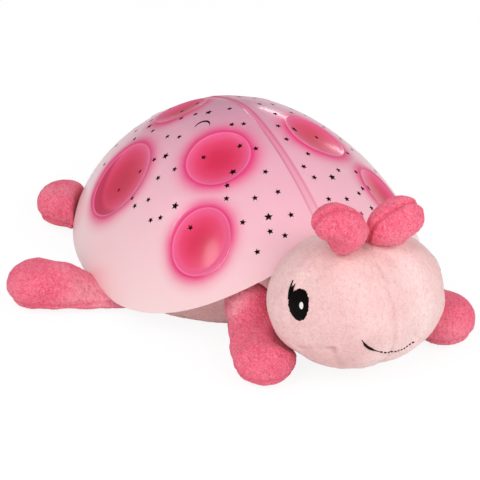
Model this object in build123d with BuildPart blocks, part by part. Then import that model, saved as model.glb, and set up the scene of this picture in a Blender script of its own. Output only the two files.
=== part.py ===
from build123d import *
import math
import os

# Star night light: a soft ladybird whose hard domed shell projects stars.
# Row frame: +Z up, the head looks towards -Y, X runs across, the floor is Z = 0.
# Sizes are millimetres.

# ---- shell ----
SHELL_WIDTH = 186.0
SHELL_LENGTH = 244.0
DOME_HEIGHT = 85.0
RIM_HEIGHT = 7.6  # gap between the shell's rim and the floor, filled by the plush belly
SHELL_WALL = 2.0
SHELL_CENTRE_Y = 18.0
PROFILE_POWER = 1.6  # 2 would be an ellipse, less is more pointed
ARCH_HEIGHT = 44.0  # the rim's rise over the neck
ARCH_SHOULDER = (0.66, 0.5)  # shares of the arch's half-width and rise
DOME_SECTIONS = 8
SLOPE_STEP = 0.01
BAND_WIDTH = 6.4  # sunken band where the two wing cases meet
BAND_DEPTH = 0.6

# ---- dished spots: place across, place along, rim radius ----
SPOTS = [(30.0, -8.0, 17.5), (56.0, -39.0, 18.5), (66.0, 43.0, 23.5), (19.0, 59.0, 16.0)]
SPOT_DEPTH_RATIO = 0.17
DOME_CURVATURE_RADIUS = 100.0
DISH_TOOL_REACH = 1.2  # the hollowing lens is this much wider than the spot
DISH_TOOL_TOP = 8.0

# ---- star holes ----
STAR_COUNT = 70
STAR_RADIUS = 1.8
LARGE_STAR_RADIUS = 2.4
LARGE_STAR_EVERY = 9
STAR_INNER_RATIO = 0.42
STAR_FIELD = 0.8  # share of the plan radius that carries stars
STAR_SCATTER = 3.2
STAR_SCATTER_TURNS = (5.3, 3.7)  # radians from one star to the next, across and along
STAR_CORNERS = 5
STAR_EDGE_GAP = 1.2
GOLDEN_ANGLE = math.pi * (3 - math.sqrt(5))
CRESCENT_PLACE = (-25.0, 20.0)
CRESCENT_RADIUS = 4.6
CRESCENT_SHIFT = 1.5

# ---- clearances ----
FIT_GAP = 0.3  # between rigid pieces that are assembled
SOFT_GAP = 0.4  # between a soft piece and its neighbour
MOVING_GAP = 0.3

# ---- base housing ----
BASE_RISE = 2.0  # the plate sits this far up inside the rim
BASE_PLATE = 3.0
BASE_WALL = 2.0
BASE_LIP = 4.0

# ---- screws ----
SCREW_RADIUS = 1.25
PILOT_RADIUS = 1.3
SCREW_HOLE_RADIUS = 1.6
SCREW_HEAD_RADIUS = 2.6
SCREW_HEAD_HEIGHT = 1.6
BOSS_RADIUS = 3.6
SHELL_BOSSES = [(66.0, 4.0), (50.0, 95.0), (25.0, -39.0)]
SHELL_SCREW_LENGTH = 12.0

# ---- batteries ----
CELL_RADIUS = 5.25
CELL_LENGTH = 43.3
CELL_TIP_RADIUS = 1.9
CELL_TIP_LENGTH = 0.9
CELL_PITCH = 11.2
CELL_COUNT = 3
BOX_Y = SHELL_CENTRE_Y + 20.0
BOX_WALL = 1.8
CONTACT_SPACE = 3.6
CONTACT_SHEET = 0.4
CONTACT_WIDTH = 8.0

# ---- battery door ----
DOOR_THICKNESS = 1.8
DOOR_LEDGE = 3.0
DOOR_EAR = 9.0
DOOR_RIB = 1.6
DOOR_RIB_GAP = 0.6
DOOR_SCREW_LENGTH = 9.0

# ---- lamps ----
PILLAR_RADIUS = 11.0
PILLAR_HEIGHT = 15.0
PILLAR_WALL = 1.8
PILLAR_FLANGE = 2.5
LAMP_BOARD_RADIUS = 15.0
BOARD_THICKNESS = 1.6
LAMP_RADIUS = 2.5
LAMP_FLANGE_RADIUS = 2.9
LAMP_HEIGHT = 8.6
LAMP_RING = 5.5
LAMPS = {"red_lamp": 90.0, "green_lamp": 210.0, "blue_lamp": 330.0}  # degrees round the board
LAMP_SCREW_RING = 12.5
LAMP_SCREW_LENGTH = 4.0

# ---- control panel and buttons ----
PANEL_Y = SHELL_CENTRE_Y + 85.0
PANEL_LENGTH = 50.0
PANEL_WIDTH = 19.0
PANEL_FLANGE = 2.6
PANEL_FLANGE_THICKNESS = 1.6
BUTTON_RADIUS = 5.0
BUTTON_PITCH = 13.5
BUTTON_PROUD = 1.2
BUTTON_CAP_CURVE = 60.0
BUTTON_ROUNDING = 0.6
BUTTON_FLANGE = 1.4
BUTTON_FLANGE_THICKNESS = 1.2
GUIDE_WALL = 1.4
GUIDE_DEPTH = 8.5  # the button guides reach this far below the dome's face
BUTTON_TRAVEL = 0.8
STEM_RADIUS = 1.8
STEM_GAP = 0.05  # from the pressed stem to its switch
SWITCH_SIZE = 6.0
SWITCH_HEIGHT = 3.4
PLUNGER_RADIUS = 1.7
PLUNGER_HEIGHT = 1.0
BOARD_DEPTH = 17.0  # from the dome's surface to the control board's face
BOARD_LENGTH = 52.0
BOARD_WIDTH = 16.0
CHIP_SIZE = 5.0
CHIP_HEIGHT = 1.5
POST_X = 23.2
POST_RADIUS = 2.4
CONTROL_SCREW_LENGTH = 6.0

# ---- plush ----
BELLY_HALF_WIDTH = 88.0
BELLY_HALF_LENGTH = 97.0
BELLY_CENTRE_Y = SHELL_CENTRE_Y + 20.0
BELLY_ROUNDING = 5.0
WRAP = 7.0  # plush that wraps the base housing's front wall
NECK_INSET = 4.0
NECK_CENTRE_Y = SHELL_CENTRE_Y - 63.0
NECK_HALF_WIDTH = 46.0
NECK_HALF_LENGTH = 38.0
WINDOW_MARGIN = 2.0
FLAP_OVERLAP = 7.0
FLAP_THICKNESS = 2.0
FLAP_LIFT = 0.4
FLAP_CORNER = 5.0
RECESS_CORNER = 1.0  # sharper than the flap's own corners, so they swing past it
HEM_ROUNDING = 0.9
TAPE_WIDTH = 5.0
TAPE_THICKNESS = 0.8
HEAD_CENTRE = (0.0, -100.0, 36.7)
HEAD_HALF_AXES = (46.0, 40.0, 32.6)
ANTENNA_MIDDLE_X = -1.5  # the pair is sewn a little to one side
ANTENNA_BASE = (8.5, -105.0, 65.0)
ANTENNA_CENTRE = (16.5, -109.0, 80.3)
ANTENNA_HALF_LENGTH = 14.3
ANTENNA_RADIUS = 10.5
ANTENNA_LIFT = 24.0  # degrees that the club rises outwards
ANTENNA_STEM_RADIUS = 6.0
ANTENNA_STEM_HEIGHT = 10.0
LEG_THICKNESS = 22.0
LEG_TIP_RADIUS = 16.0
LEG_ROOT_RADIUS = 13.0
LEG_ROUNDING = 10.0
SHOULDER_RADIUS = 15.0
SHOULDER_LIFT = 21.0
FRONT_LEGS = ("front_right_leg", "front_left_leg")
# each leg's root and tip centres on the floor
LEGS = {
    "front_right_leg": ((-38.5, -61.0), (-45.5, -94.0)),
    "front_left_leg": ((38.0, -61.0), (51.5, -105.0)),
    "middle_right_leg": ((-80.0, -8.0), (-121.0, 25.0)),
    "middle_left_leg": ((74.0, 30.0), (86.0, 64.0)),
    "rear_right_leg": ((-60.0, 78.0), (-74.5, 107.5)),
    "rear_left_leg": ((54.0, 92.0), (66.0, 118.0)),
}

os.makedirs("parts", exist_ok=True)


def dome_height(x, y):
    """Height of the dome's outer face above the floor."""
    across = x / (SHELL_WIDTH / 2)
    along = (y - SHELL_CENTRE_Y) / (SHELL_LENGTH / 2)
    radius = math.hypot(across, along)
    return RIM_HEIGHT + DOME_HEIGHT * (1 - radius**PROFILE_POWER) ** (1 / PROFILE_POWER)


def dome_normal(x, y):
    """Outward normal of the dome's outer face, from central differences of its height."""
    step = SLOPE_STEP
    slope_x = (dome_height(x + step, y) - dome_height(x - step, y)) / (2 * step)
    slope_y = (dome_height(x, y + step) - dome_height(x, y - step)) / (2 * step)
    return Vector(-slope_x, -slope_y, 1).normalized()


def dome_plane(x, y):
    """Workplane that touches the dome's outer face, with its x axis across the toy."""
    return Plane(origin=(x, y, dome_height(x, y)), x_dir=(1, 0, 0), z_dir=dome_normal(x, y))


def dome_form(grow):
    """Solid dome, larger than the shell's outer face by grow, standing on the rim's plane."""
    half_width = SHELL_WIDTH / 2 + grow
    half_length = SHELL_LENGTH / 2 + grow
    height = DOME_HEIGHT + grow
    power = 2 / PROFILE_POWER
    sections = []
    for step in range(DOME_SECTIONS):
        turn = step * math.pi / 2 / DOME_SECTIONS
        share = math.cos(turn) ** power
        with BuildSketch(Plane.XY.offset(height * math.sin(turn) ** power)) as section:
            Ellipse(half_width * share, half_length * share)
        sections.append(section.sketch.face())
    with BuildPart() as form:
        loft(sections=[*sections, Vertex(0, 0, height)])
        if grow > 0:
            with BuildSketch(Plane.XY.offset(-grow)):
                Ellipse(half_width, half_length)
            extrude(amount=grow)
    return form.part.moved(Location((0, SHELL_CENTRE_Y, RIM_HEIGHT)))


def ellipsoid_form(half_axes):
    """Ellipsoid about the origin."""
    with BuildPart() as form:
        Sphere(half_axes[0])
        scale(by=(1, half_axes[1] / half_axes[0], half_axes[2] / half_axes[0]))
    return form.part


def grown(half_axes, gap):
    return tuple(value + gap for value in half_axes)


def finish(builder, name):
    """Label a finished piece and write its STEP file."""
    builder.part.label = name
    export_step(builder.part, f"parts/{name}.step")


# ================= shell =================

all_spots = [(side * x, y, radius) for x, y, radius in SPOTS for side in (-1, 1)]


def dish_tool(radius, extra):
    """Lens that hollows one spot, standing on the dome's tangent plane, thicker by extra."""
    depth = SPOT_DEPTH_RATIO * radius
    sphere_radius = 1 / (2 * depth / radius**2 - 1 / DOME_CURVATURE_RADIUS)
    centre_z = sphere_radius - depth
    lens_radius = DISH_TOOL_REACH * radius

    def lens_z(r):
        return centre_z - math.sqrt((sphere_radius + extra) ** 2 - r**2)

    with BuildPart() as tool:
        with BuildSketch(Plane.XZ):
            with BuildLine():
                ThreePointArc((0, lens_z(0)), (lens_radius / 2, lens_z(lens_radius / 2)),
                              (lens_radius, lens_z(lens_radius)))
                Polyline((lens_radius, lens_z(lens_radius)), (lens_radius, DISH_TOOL_TOP),
                         (0, DISH_TOOL_TOP), (0, lens_z(0)))
            make_face()
        revolve(axis=Axis.Z)
    return tool.part


def cut_dishes(extra):
    """Hollow every spot in the part being built, with lenses thicker by extra."""
    for x, y, radius in all_spots:
        with Locations(dome_plane(x, y)):
            add(dish_tool(radius, extra), mode=Mode.SUBTRACT)


def star_places():
    """Scattered places on the dome that miss the centre band, the spots' rims and the panel."""
    places = []
    for i in range(STAR_COUNT):
        share = math.sqrt((i + 0.5) / STAR_COUNT) * STAR_FIELD
        angle = i * GOLDEN_ANGLE
        x = SHELL_WIDTH / 2 * share * math.cos(angle) + STAR_SCATTER * math.sin(STAR_SCATTER_TURNS[0] * i)
        y = SHELL_CENTRE_Y + SHELL_LENGTH / 2 * share * math.sin(angle)
        y += STAR_SCATTER * math.sin(STAR_SCATTER_TURNS[1] * i)
        here = Vector(x, y, dome_height(x, y))
        margin = LARGE_STAR_RADIUS + STAR_EDGE_GAP
        near_band = abs(x) < BAND_WIDTH / 2 + margin
        near_panel = abs(x) < PANEL_LENGTH / 2 + margin + PANEL_FLANGE and y > PANEL_Y - PANEL_WIDTH
        spot_gaps = [
            abs((here - Vector(sx, sy, dome_height(sx, sy))).length - radius)
            for sx, sy, radius in all_spots
        ]
        crescent_x, crescent_y = CRESCENT_PLACE
        near_crescent = math.hypot(x - crescent_x, y - crescent_y) < CRESCENT_RADIUS + margin
        near_boss = any(
            math.hypot(abs(x) - bx, y - by) < BOSS_RADIUS + margin for bx, by in SHELL_BOSSES
        )
        if near_band or near_panel or near_crescent or near_boss or min(spot_gaps) < margin:
            continue
        places.append((x, y, LARGE_STAR_RADIUS if i % LARGE_STAR_EVERY == 0 else STAR_RADIUS))
    return places


def star_points(radius):
    points = []
    for corner in range(2 * STAR_CORNERS):
        reach = radius if corner % 2 == 0 else radius * STAR_INNER_RATIO
        angle = math.radians(90 + 180 / STAR_CORNERS * corner)
        points.append((reach * math.cos(angle), reach * math.sin(angle)))
    return points


STAR_CUT = 2 * SHELL_WALL + SPOT_DEPTH_RATIO * max(radius for _, _, radius in SPOTS)

with BuildPart() as shell_outside:
    add(dome_form(0))
    cut_dishes(0)

with BuildPart() as shell_inside:
    add(dome_form(-SHELL_WALL))
    cut_dishes(SHELL_WALL)

# arch over the neck, drawn from the front and cut back to the dome's middle
arch_half = SHELL_WIDTH / 2 - SHELL_WALL
shoulder_x = ARCH_SHOULDER[0] * arch_half
shoulder_z = RIM_HEIGHT + ARCH_SHOULDER[1] * ARCH_HEIGHT
with BuildPart() as neck_arch:
    with BuildSketch(Plane.XZ.offset(-SHELL_CENTRE_Y)):
        with BuildLine():
            Spline(
                (-arch_half, RIM_HEIGHT),
                (-shoulder_x, shoulder_z),
                (0, RIM_HEIGHT + ARCH_HEIGHT),
                (shoulder_x, shoulder_z),
                (arch_half, RIM_HEIGHT),
            )
            Polyline((-arch_half, RIM_HEIGHT), (-arch_half, 0), (arch_half, 0), (arch_half, RIM_HEIGHT))
        make_face()
    extrude(amount=SHELL_LENGTH)

# sunken band along the middle, as a thin skin of the dome
with BuildPart() as centre_band:
    add(dome_form(1))
    add(dome_form(-BAND_DEPTH), mode=Mode.SUBTRACT)
    with Locations((0, SHELL_CENTRE_Y, 0)):
        Box(BAND_WIDTH, 2 * SHELL_LENGTH, 4 * DOME_HEIGHT, mode=Mode.INTERSECT)

all_bosses = [(side * x, y) for x, y in SHELL_BOSSES for side in (-1, 1)]
plate_bottom = RIM_HEIGHT + BASE_RISE
plate_top = plate_bottom + BASE_PLATE

with BuildPart() as shell_bosses:
    with BuildSketch(Plane.XY.offset(plate_top)):
        with Locations(*all_bosses):
            Circle(BOSS_RADIUS)
    extrude(amount=DOME_HEIGHT)
    add(dome_form(-SHELL_WALL / 2), mode=Mode.INTERSECT)
    with BuildSketch(Plane.XY.offset(plate_top)):
        with Locations(*all_bosses):
            Circle(PILOT_RADIUS)
    extrude(amount=SHELL_SCREW_LENGTH, mode=Mode.SUBTRACT)

panel_plane = dome_plane(0, PANEL_Y)

with BuildPart() as star_shell:
    add(shell_outside.part)
    add(shell_inside.part, mode=Mode.SUBTRACT)
    add(centre_band.part, mode=Mode.SUBTRACT)
    add(neck_arch.part, mode=Mode.SUBTRACT)
    add(shell_bosses.part)
    with BuildSketch(panel_plane):
        SlotOverall(PANEL_LENGTH, PANEL_WIDTH)
    extrude(amount=STAR_CUT, both=True, mode=Mode.SUBTRACT)
    for star_size in (STAR_RADIUS, LARGE_STAR_RADIUS):
        star_planes = [dome_plane(x, y) for x, y, size in star_places() if size == star_size]
        with BuildSketch(*star_planes):
            Polygon(*star_points(star_size), align=None)
        extrude(amount=STAR_CUT, both=True, mode=Mode.SUBTRACT)
    with BuildSketch(dome_plane(*CRESCENT_PLACE)):
        Circle(CRESCENT_RADIUS)
        with Locations((0, -CRESCENT_SHIFT)):
            Circle(CRESCENT_RADIUS, mode=Mode.SUBTRACT)
    extrude(amount=STAR_CUT, both=True, mode=Mode.SUBTRACT)
finish(star_shell, "star_shell")


# ================= base housing and battery compartment =================

cell_row_width = (CELL_COUNT - 1) * CELL_PITCH + 2 * CELL_RADIUS
box_length = CELL_LENGTH + CELL_TIP_LENGTH + CONTACT_SPACE
box_width = cell_row_width + 2 * FIT_GAP
door_top = plate_bottom + DOOR_THICKNESS
cell_z = door_top + DOOR_RIB + FIT_GAP + CELL_RADIUS
box_top = cell_z + CELL_RADIUS + FIT_GAP + BOX_WALL
door_length = box_length + 2 * DOOR_LEDGE
door_width = box_width + 2 * DOOR_LEDGE
ear_x = door_length / 2 + DOOR_EAR / 2
door_screws = [(-ear_x, BOX_Y), (ear_x, BOX_Y)]


def door_outline(gap):
    """Door seen from below: a rectangle with a rounded screw ear at each end."""
    with Locations((0, BOX_Y)):
        RectangleRounded(door_length - 2 * gap, door_width - 2 * gap, BOX_WALL)
    with Locations((-door_length / 2, BOX_Y), (door_length / 2, BOX_Y)):
        Rectangle(2 * DOOR_EAR - 2 * gap, DOOR_EAR - 2 * gap)


def belly_oval(shrink, bottom, top):
    """Upright oval column, smaller than the belly's outline by shrink."""
    with BuildPart() as column:
        with BuildSketch(Plane.XY.offset(bottom)):
            with Locations((0, BELLY_CENTRE_Y)):
                Ellipse(BELLY_HALF_WIDTH - shrink, BELLY_HALF_LENGTH - shrink)
        extrude(amount=top - bottom)
    return column.part


# room below the raised rim, in front of the housing's wall
with BuildPart() as front_room:
    add(neck_arch.part)
    add(belly_oval(WRAP, -DOME_HEIGHT, DOME_HEIGHT), mode=Mode.SUBTRACT)

# the housing's wall round the front of the belly, and the vault from it to the rim
with BuildPart() as front_wall:
    add(neck_arch.part.moved(Location((0, BASE_WALL, BASE_WALL))))
    add(belly_oval(WRAP + BASE_WALL, -DOME_HEIGHT, DOME_HEIGHT), mode=Mode.SUBTRACT)
    add(front_room.part, mode=Mode.SUBTRACT)
    add(dome_form(-SHELL_WALL - FIT_GAP), mode=Mode.INTERSECT)
    with Locations((0, 0, plate_bottom)):
        Box(2 * SHELL_WIDTH, 2 * SHELL_LENGTH, DOME_HEIGHT,
            align=(Align.CENTER, Align.CENTER, Align.MIN), mode=Mode.INTERSECT)

with BuildPart() as base_housing:
    add(dome_form(-SHELL_WALL - FIT_GAP))
    with Locations((0, SHELL_CENTRE_Y, plate_bottom)):
        Box(SHELL_WIDTH, SHELL_LENGTH, BASE_PLATE + BASE_LIP,
            align=(Align.CENTER, Align.CENTER, Align.MIN), mode=Mode.INTERSECT)
    with BuildSketch(Plane.XY.offset(plate_top)):
        with Locations((0, SHELL_CENTRE_Y)):
            Ellipse(SHELL_WIDTH / 2 - SHELL_WALL - BASE_WALL - FIT_GAP,
                    SHELL_LENGTH / 2 - SHELL_WALL - BASE_WALL - FIT_GAP)
    extrude(amount=BASE_LIP, mode=Mode.SUBTRACT)
    add(front_room.part, mode=Mode.SUBTRACT)
    add(front_wall.part)
    with BuildSketch(Plane.XY.offset(plate_top)):
        with Locations((0, BOX_Y)):
            Rectangle(box_length + 2 * BOX_WALL, box_width + 2 * BOX_WALL)
    extrude(amount=box_top - plate_top)
    with BuildSketch(Plane.XY.offset(plate_top)):
        with Locations(*door_screws):
            Circle(BOSS_RADIUS)
    extrude(amount=DOOR_SCREW_LENGTH)
    with BuildSketch(Plane.XY.offset(plate_bottom)):
        with Locations((0, BOX_Y)):
            Rectangle(box_length, box_width)
    extrude(amount=box_top - BOX_WALL - plate_bottom, mode=Mode.SUBTRACT)
    with BuildSketch(Plane.XY.offset(plate_bottom)):
        door_outline(0)
    extrude(amount=DOOR_THICKNESS + MOVING_GAP, mode=Mode.SUBTRACT)
    with BuildSketch(Plane.XY.offset(plate_bottom)):
        with Locations(*door_screws):
            Circle(PILOT_RADIUS)
    extrude(amount=BASE_PLATE + DOOR_SCREW_LENGTH - BOX_WALL, mode=Mode.SUBTRACT)
    with BuildSketch(Plane.XY.offset(plate_bottom)):
        with Locations(*all_bosses):
            Circle(SCREW_HOLE_RADIUS)
    extrude(amount=BASE_PLATE, mode=Mode.SUBTRACT)
    with BuildSketch(Plane.XY.offset(plate_bottom)):
        with Locations(*all_bosses):
            Circle(SCREW_HEAD_RADIUS + FIT_GAP)
    extrude(amount=SCREW_HEAD_HEIGHT, mode=Mode.SUBTRACT)

finish(base_housing, "base_housing")


def screw(length):
    """Pan head screw: the head's seat lies on the origin, the shank points up."""
    with BuildPart() as body:
        with BuildSketch(Plane.XY.offset(-SCREW_HEAD_HEIGHT)):
            Circle(SCREW_HEAD_RADIUS)
        extrude(amount=SCREW_HEAD_HEIGHT)
        fillet(body.faces().sort_by(Axis.Z)[0].edges(), SCREW_HEAD_HEIGHT / 2)
        with BuildSketch():
            Circle(SCREW_RADIUS)
        extrude(amount=length)
        chamfer(body.faces().sort_by(Axis.Z)[-1].edges(), SCREW_RADIUS / 2)
    return body.part


with BuildPart() as shell_screws:
    with Locations(*[(x, y, plate_bottom + SCREW_HEAD_HEIGHT) for x, y in all_bosses]):
        add(screw(BASE_PLATE - SCREW_HEAD_HEIGHT + SHELL_SCREW_LENGTH - SCREW_RADIUS))
finish(shell_screws, "shell_screws")

with BuildPart() as battery_door:
    with BuildSketch(Plane.XY.offset(plate_bottom)):
        door_outline(MOVING_GAP)
    extrude(amount=DOOR_THICKNESS)
    with BuildSketch(Plane.XY.offset(door_top)):
        with Locations((-box_length / 4, BOX_Y), (box_length / 4, BOX_Y)):
            Rectangle(BOX_WALL, box_width - 2 * DOOR_RIB_GAP)
    extrude(amount=DOOR_RIB)
    with BuildSketch(Plane.XY.offset(plate_bottom)):
        with Locations(*door_screws):
            Circle(SCREW_HOLE_RADIUS)
    extrude(amount=DOOR_THICKNESS, mode=Mode.SUBTRACT)
finish(battery_door, "battery_door")

with BuildPart() as battery_door_screws:
    with Locations(*[(x, y, plate_bottom) for x, y in door_screws]):
        add(screw(DOOR_SCREW_LENGTH))
finish(battery_door_screws, "battery_door_screws")

cell_names = ("battery_front", "battery_middle", "battery_rear")
cell_directions = (1, -1, 1)  # the cells are in series, so their tips alternate
cell_ys = [BOX_Y + (i - (CELL_COUNT - 1) / 2) * CELL_PITCH for i in range(CELL_COUNT)]


def cell(y, direction):
    """AAA cell along X, with its tip towards direction."""
    with BuildPart() as body:
        with BuildSketch(Plane.YZ.offset(-direction * CELL_TIP_LENGTH / 2)):
            with Locations((y, cell_z)):
                Circle(CELL_RADIUS)
        extrude(amount=CELL_LENGTH / 2, both=True)
        fillet(body.edges().filter_by(GeomType.CIRCLE), CELL_RADIUS / 10)
        with BuildSketch(Plane.YZ):
            with Locations((y, cell_z)):
                Circle(CELL_TIP_RADIUS)
        extrude(amount=direction * (CELL_LENGTH + CELL_TIP_LENGTH) / 2)
    return body


for cell_name, cell_y, cell_direction in zip(cell_names, cell_ys, cell_directions):
    finish(cell(cell_y, cell_direction), cell_name)

cell_reach = (CELL_LENGTH + CELL_TIP_LENGTH) / 2


def contact_strip(side, y, sprung):
    """Sheet contact on one end wall: a wide spring bow for a cell's base, a dimple for its tip."""
    wall_x = side * (box_length / 2 - CONTACT_SHEET / 2)
    bow_x = side * (cell_reach + CONTACT_SHEET / 2)
    half = CELL_RADIUS - CONTACT_SHEET
    bow = half / 2 if sprung else CELL_TIP_RADIUS
    with BuildPart() as strip:
        with BuildSketch(Plane.XZ.offset(-y)):
            with BuildLine():
                Polyline((wall_x, cell_z - half), (wall_x, cell_z - bow))
                ThreePointArc((wall_x, cell_z - bow), (bow_x, cell_z), (wall_x, cell_z + bow))
                Polyline((wall_x, cell_z + bow), (wall_x, cell_z + half))
            trace(line_width=CONTACT_SHEET)
        extrude(amount=CONTACT_WIDTH / 2, both=True)
    return strip.part


with BuildPart() as negative_contacts:
    for cell_y, cell_direction in zip(cell_ys, cell_directions):
        add(contact_strip(-cell_direction, cell_y, True))
finish(negative_contacts, "negative_contacts")

with BuildPart() as positive_contacts:
    for cell_y, cell_direction in zip(cell_ys, cell_directions):
        add(contact_strip(cell_direction, cell_y, False))
finish(positive_contacts, "positive_contacts")

# ================= lamps =================

pillar_top = box_top + PILLAR_HEIGHT
lamp_board_top = pillar_top + BOARD_THICKNESS
with BuildPart() as lamp_pillar:
    with BuildSketch(Plane.XY.offset(box_top)):
        with Locations((0, BOX_Y)):
            Circle(PILLAR_RADIUS)
    extrude(amount=PILLAR_HEIGHT)
    with BuildSketch(Plane.XY.offset(pillar_top - PILLAR_FLANGE)):
        with Locations((0, BOX_Y)):
            Circle(LAMP_BOARD_RADIUS)
    extrude(amount=PILLAR_FLANGE)
    with BuildSketch(Plane.XY.offset(box_top)):
        with Locations((0, BOX_Y)):
            Circle(PILLAR_RADIUS - PILLAR_WALL)
    extrude(amount=PILLAR_HEIGHT, mode=Mode.SUBTRACT)
    with BuildSketch(Plane.XY.offset(pillar_top - PILLAR_FLANGE)):
        with Locations((-LAMP_SCREW_RING, BOX_Y), (LAMP_SCREW_RING, BOX_Y)):
            Circle(PILOT_RADIUS)
    extrude(amount=PILLAR_FLANGE, mode=Mode.SUBTRACT)
finish(lamp_pillar, "lamp_pillar")

with BuildPart() as lamp_board:
    with BuildSketch(Plane.XY.offset(pillar_top)):
        with Locations((0, BOX_Y)):
            Circle(LAMP_BOARD_RADIUS)
        with Locations((-LAMP_SCREW_RING, BOX_Y), (LAMP_SCREW_RING, BOX_Y)):
            Circle(SCREW_HOLE_RADIUS, mode=Mode.SUBTRACT)
    extrude(amount=BOARD_THICKNESS)
finish(lamp_board, "lamp_board")

with BuildPart() as lamp_board_screws:
    for side in (-1, 1):
        with Locations(Location((side * LAMP_SCREW_RING, BOX_Y, lamp_board_top), (180, 0, 0))):
            add(screw(LAMP_SCREW_LENGTH))
finish(lamp_board_screws, "lamp_board_screws")


def lamp(angle):
    """Domed lamp with its flange, standing on the lamp board."""
    x = LAMP_RING * math.cos(math.radians(angle))
    y = BOX_Y + LAMP_RING * math.sin(math.radians(angle))
    with BuildPart() as body:
        with BuildSketch(Plane.XY.offset(lamp_board_top)):
            with Locations((x, y)):
                Circle(LAMP_RADIUS)
        extrude(amount=LAMP_HEIGHT - LAMP_RADIUS)
        with Locations((x, y, lamp_board_top + LAMP_HEIGHT - LAMP_RADIUS)):
            Sphere(LAMP_RADIUS)
        with BuildSketch(Plane.XY.offset(lamp_board_top)):
            with Locations((x, y)):
                Circle(LAMP_FLANGE_RADIUS)
        extrude(amount=LAMP_FLANGE_RADIUS - LAMP_RADIUS + FIT_GAP)
    return body


for lamp_name, lamp_angle in LAMPS.items():
    finish(lamp(lamp_angle), lamp_name)

# ================= control panel and buttons =================

button_xs = [BUTTON_PITCH, 0, -BUTTON_PITCH]
button_names = ("left_colour_button", "middle_colour_button", "right_colour_button")
guide_radius = BUTTON_RADIUS + MOVING_GAP + GUIDE_WALL
panel_inner = SHELL_WALL + FIT_GAP

with BuildPart() as panel_flange:
    add(dome_form(-panel_inner))
    with BuildSketch(panel_plane):
        SlotOverall(PANEL_LENGTH + 2 * PANEL_FLANGE, PANEL_WIDTH + 2 * PANEL_FLANGE)
    extrude(amount=BOARD_DEPTH, both=True, mode=Mode.INTERSECT)

with BuildPart() as panel_fittings:
    with BuildSketch(panel_plane.offset(-GUIDE_DEPTH)):
        with Locations(*[(x, 0) for x in button_xs]):
            Circle(guide_radius)
    extrude(amount=GUIDE_DEPTH)
    with BuildSketch(panel_plane.offset(-BOARD_DEPTH)):
        with Locations((-POST_X, 0), (POST_X, 0)):
            Circle(POST_RADIUS)
    extrude(amount=BOARD_DEPTH)
    add(dome_form(-panel_inner - PANEL_FLANGE_THICKNESS / 2), mode=Mode.INTERSECT)

with BuildPart() as control_panel:
    add(dome_form(0))
    with BuildSketch(panel_plane):
        SlotOverall(PANEL_LENGTH - 2 * FIT_GAP, PANEL_WIDTH - 2 * FIT_GAP)
    extrude(amount=BOARD_DEPTH, both=True, mode=Mode.INTERSECT)
    add(panel_flange.part)
    add(dome_form(-panel_inner - PANEL_FLANGE_THICKNESS), mode=Mode.SUBTRACT)
    add(panel_fittings.part)
    with BuildSketch(panel_plane.offset(-GUIDE_DEPTH)):
        with Locations(*[(x, 0) for x in button_xs]):
            Circle(BUTTON_RADIUS + MOVING_GAP)
    extrude(amount=2 * GUIDE_DEPTH, mode=Mode.SUBTRACT)
    with BuildSketch(panel_plane.offset(-BOARD_DEPTH)):
        with Locations((-POST_X, 0), (POST_X, 0)):
            Circle(PILOT_RADIUS)
    extrude(amount=CONTROL_SCREW_LENGTH, mode=Mode.SUBTRACT)
finish(control_panel, "control_panel")

switch_top = BOARD_DEPTH - SWITCH_HEIGHT - PLUNGER_HEIGHT
stem_end = switch_top - BUTTON_TRAVEL - STEM_GAP
flange_top = GUIDE_DEPTH + MOVING_GAP


def button(x):
    """Cap with its retaining flange and stem, sliding in one guide of the panel."""
    cap_place = dome_plane(x, PANEL_Y)
    cap_centre = cap_place.origin + cap_place.z_dir * (BUTTON_PROUD - BUTTON_CAP_CURVE)
    with BuildPart() as body:
        with BuildSketch(panel_plane.offset(-flange_top)):
            with Locations((x, 0)):
                Circle(BUTTON_RADIUS)
        extrude(amount=2 * flange_top)
        with Locations(cap_centre):
            Sphere(BUTTON_CAP_CURVE, mode=Mode.INTERSECT)
        with BuildSketch(panel_plane.offset(-flange_top - BUTTON_FLANGE_THICKNESS)):
            with Locations((x, 0)):
                Circle(BUTTON_RADIUS + BUTTON_FLANGE)
        extrude(amount=BUTTON_FLANGE_THICKNESS)
        with BuildSketch(panel_plane.offset(-stem_end)):
            with Locations((x, 0)):
                Circle(STEM_RADIUS)
        extrude(amount=stem_end - flange_top)
        outward = Axis(panel_plane.origin, panel_plane.z_dir)
        fillet(body.faces().sort_by(outward)[-1].edges(), BUTTON_ROUNDING)
    return body


for button_name, button_x in zip(button_names, button_xs):
    finish(button(button_x), button_name)

with BuildPart() as control_board:
    with BuildSketch(panel_plane.offset(-BOARD_DEPTH - BOARD_THICKNESS)):
        Rectangle(BOARD_LENGTH, BOARD_WIDTH)
        with Locations((-POST_X, 0), (POST_X, 0)):
            Circle(SCREW_HOLE_RADIUS, mode=Mode.SUBTRACT)
    extrude(amount=BOARD_THICKNESS)
finish(control_board, "control_board")

with BuildPart() as button_switches:
    with BuildSketch(panel_plane.offset(-BOARD_DEPTH)):
        with Locations(*[(x, 0) for x in button_xs]):
            Rectangle(SWITCH_SIZE, SWITCH_SIZE)
    extrude(amount=SWITCH_HEIGHT)
    with BuildSketch(panel_plane.offset(-BOARD_DEPTH + SWITCH_HEIGHT)):
        with Locations(*[(x, 0) for x in button_xs]):
            Circle(PLUNGER_RADIUS)
    extrude(amount=PLUNGER_HEIGHT)
finish(button_switches, "button_switches")

board_back = panel_plane.offset(-BOARD_DEPTH - BOARD_THICKNESS)
with BuildPart() as control_chip:
    with BuildSketch(board_back):
        Rectangle(CHIP_SIZE, CHIP_SIZE)
    extrude(amount=-CHIP_HEIGHT)
finish(control_chip, "control_chip")

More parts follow.
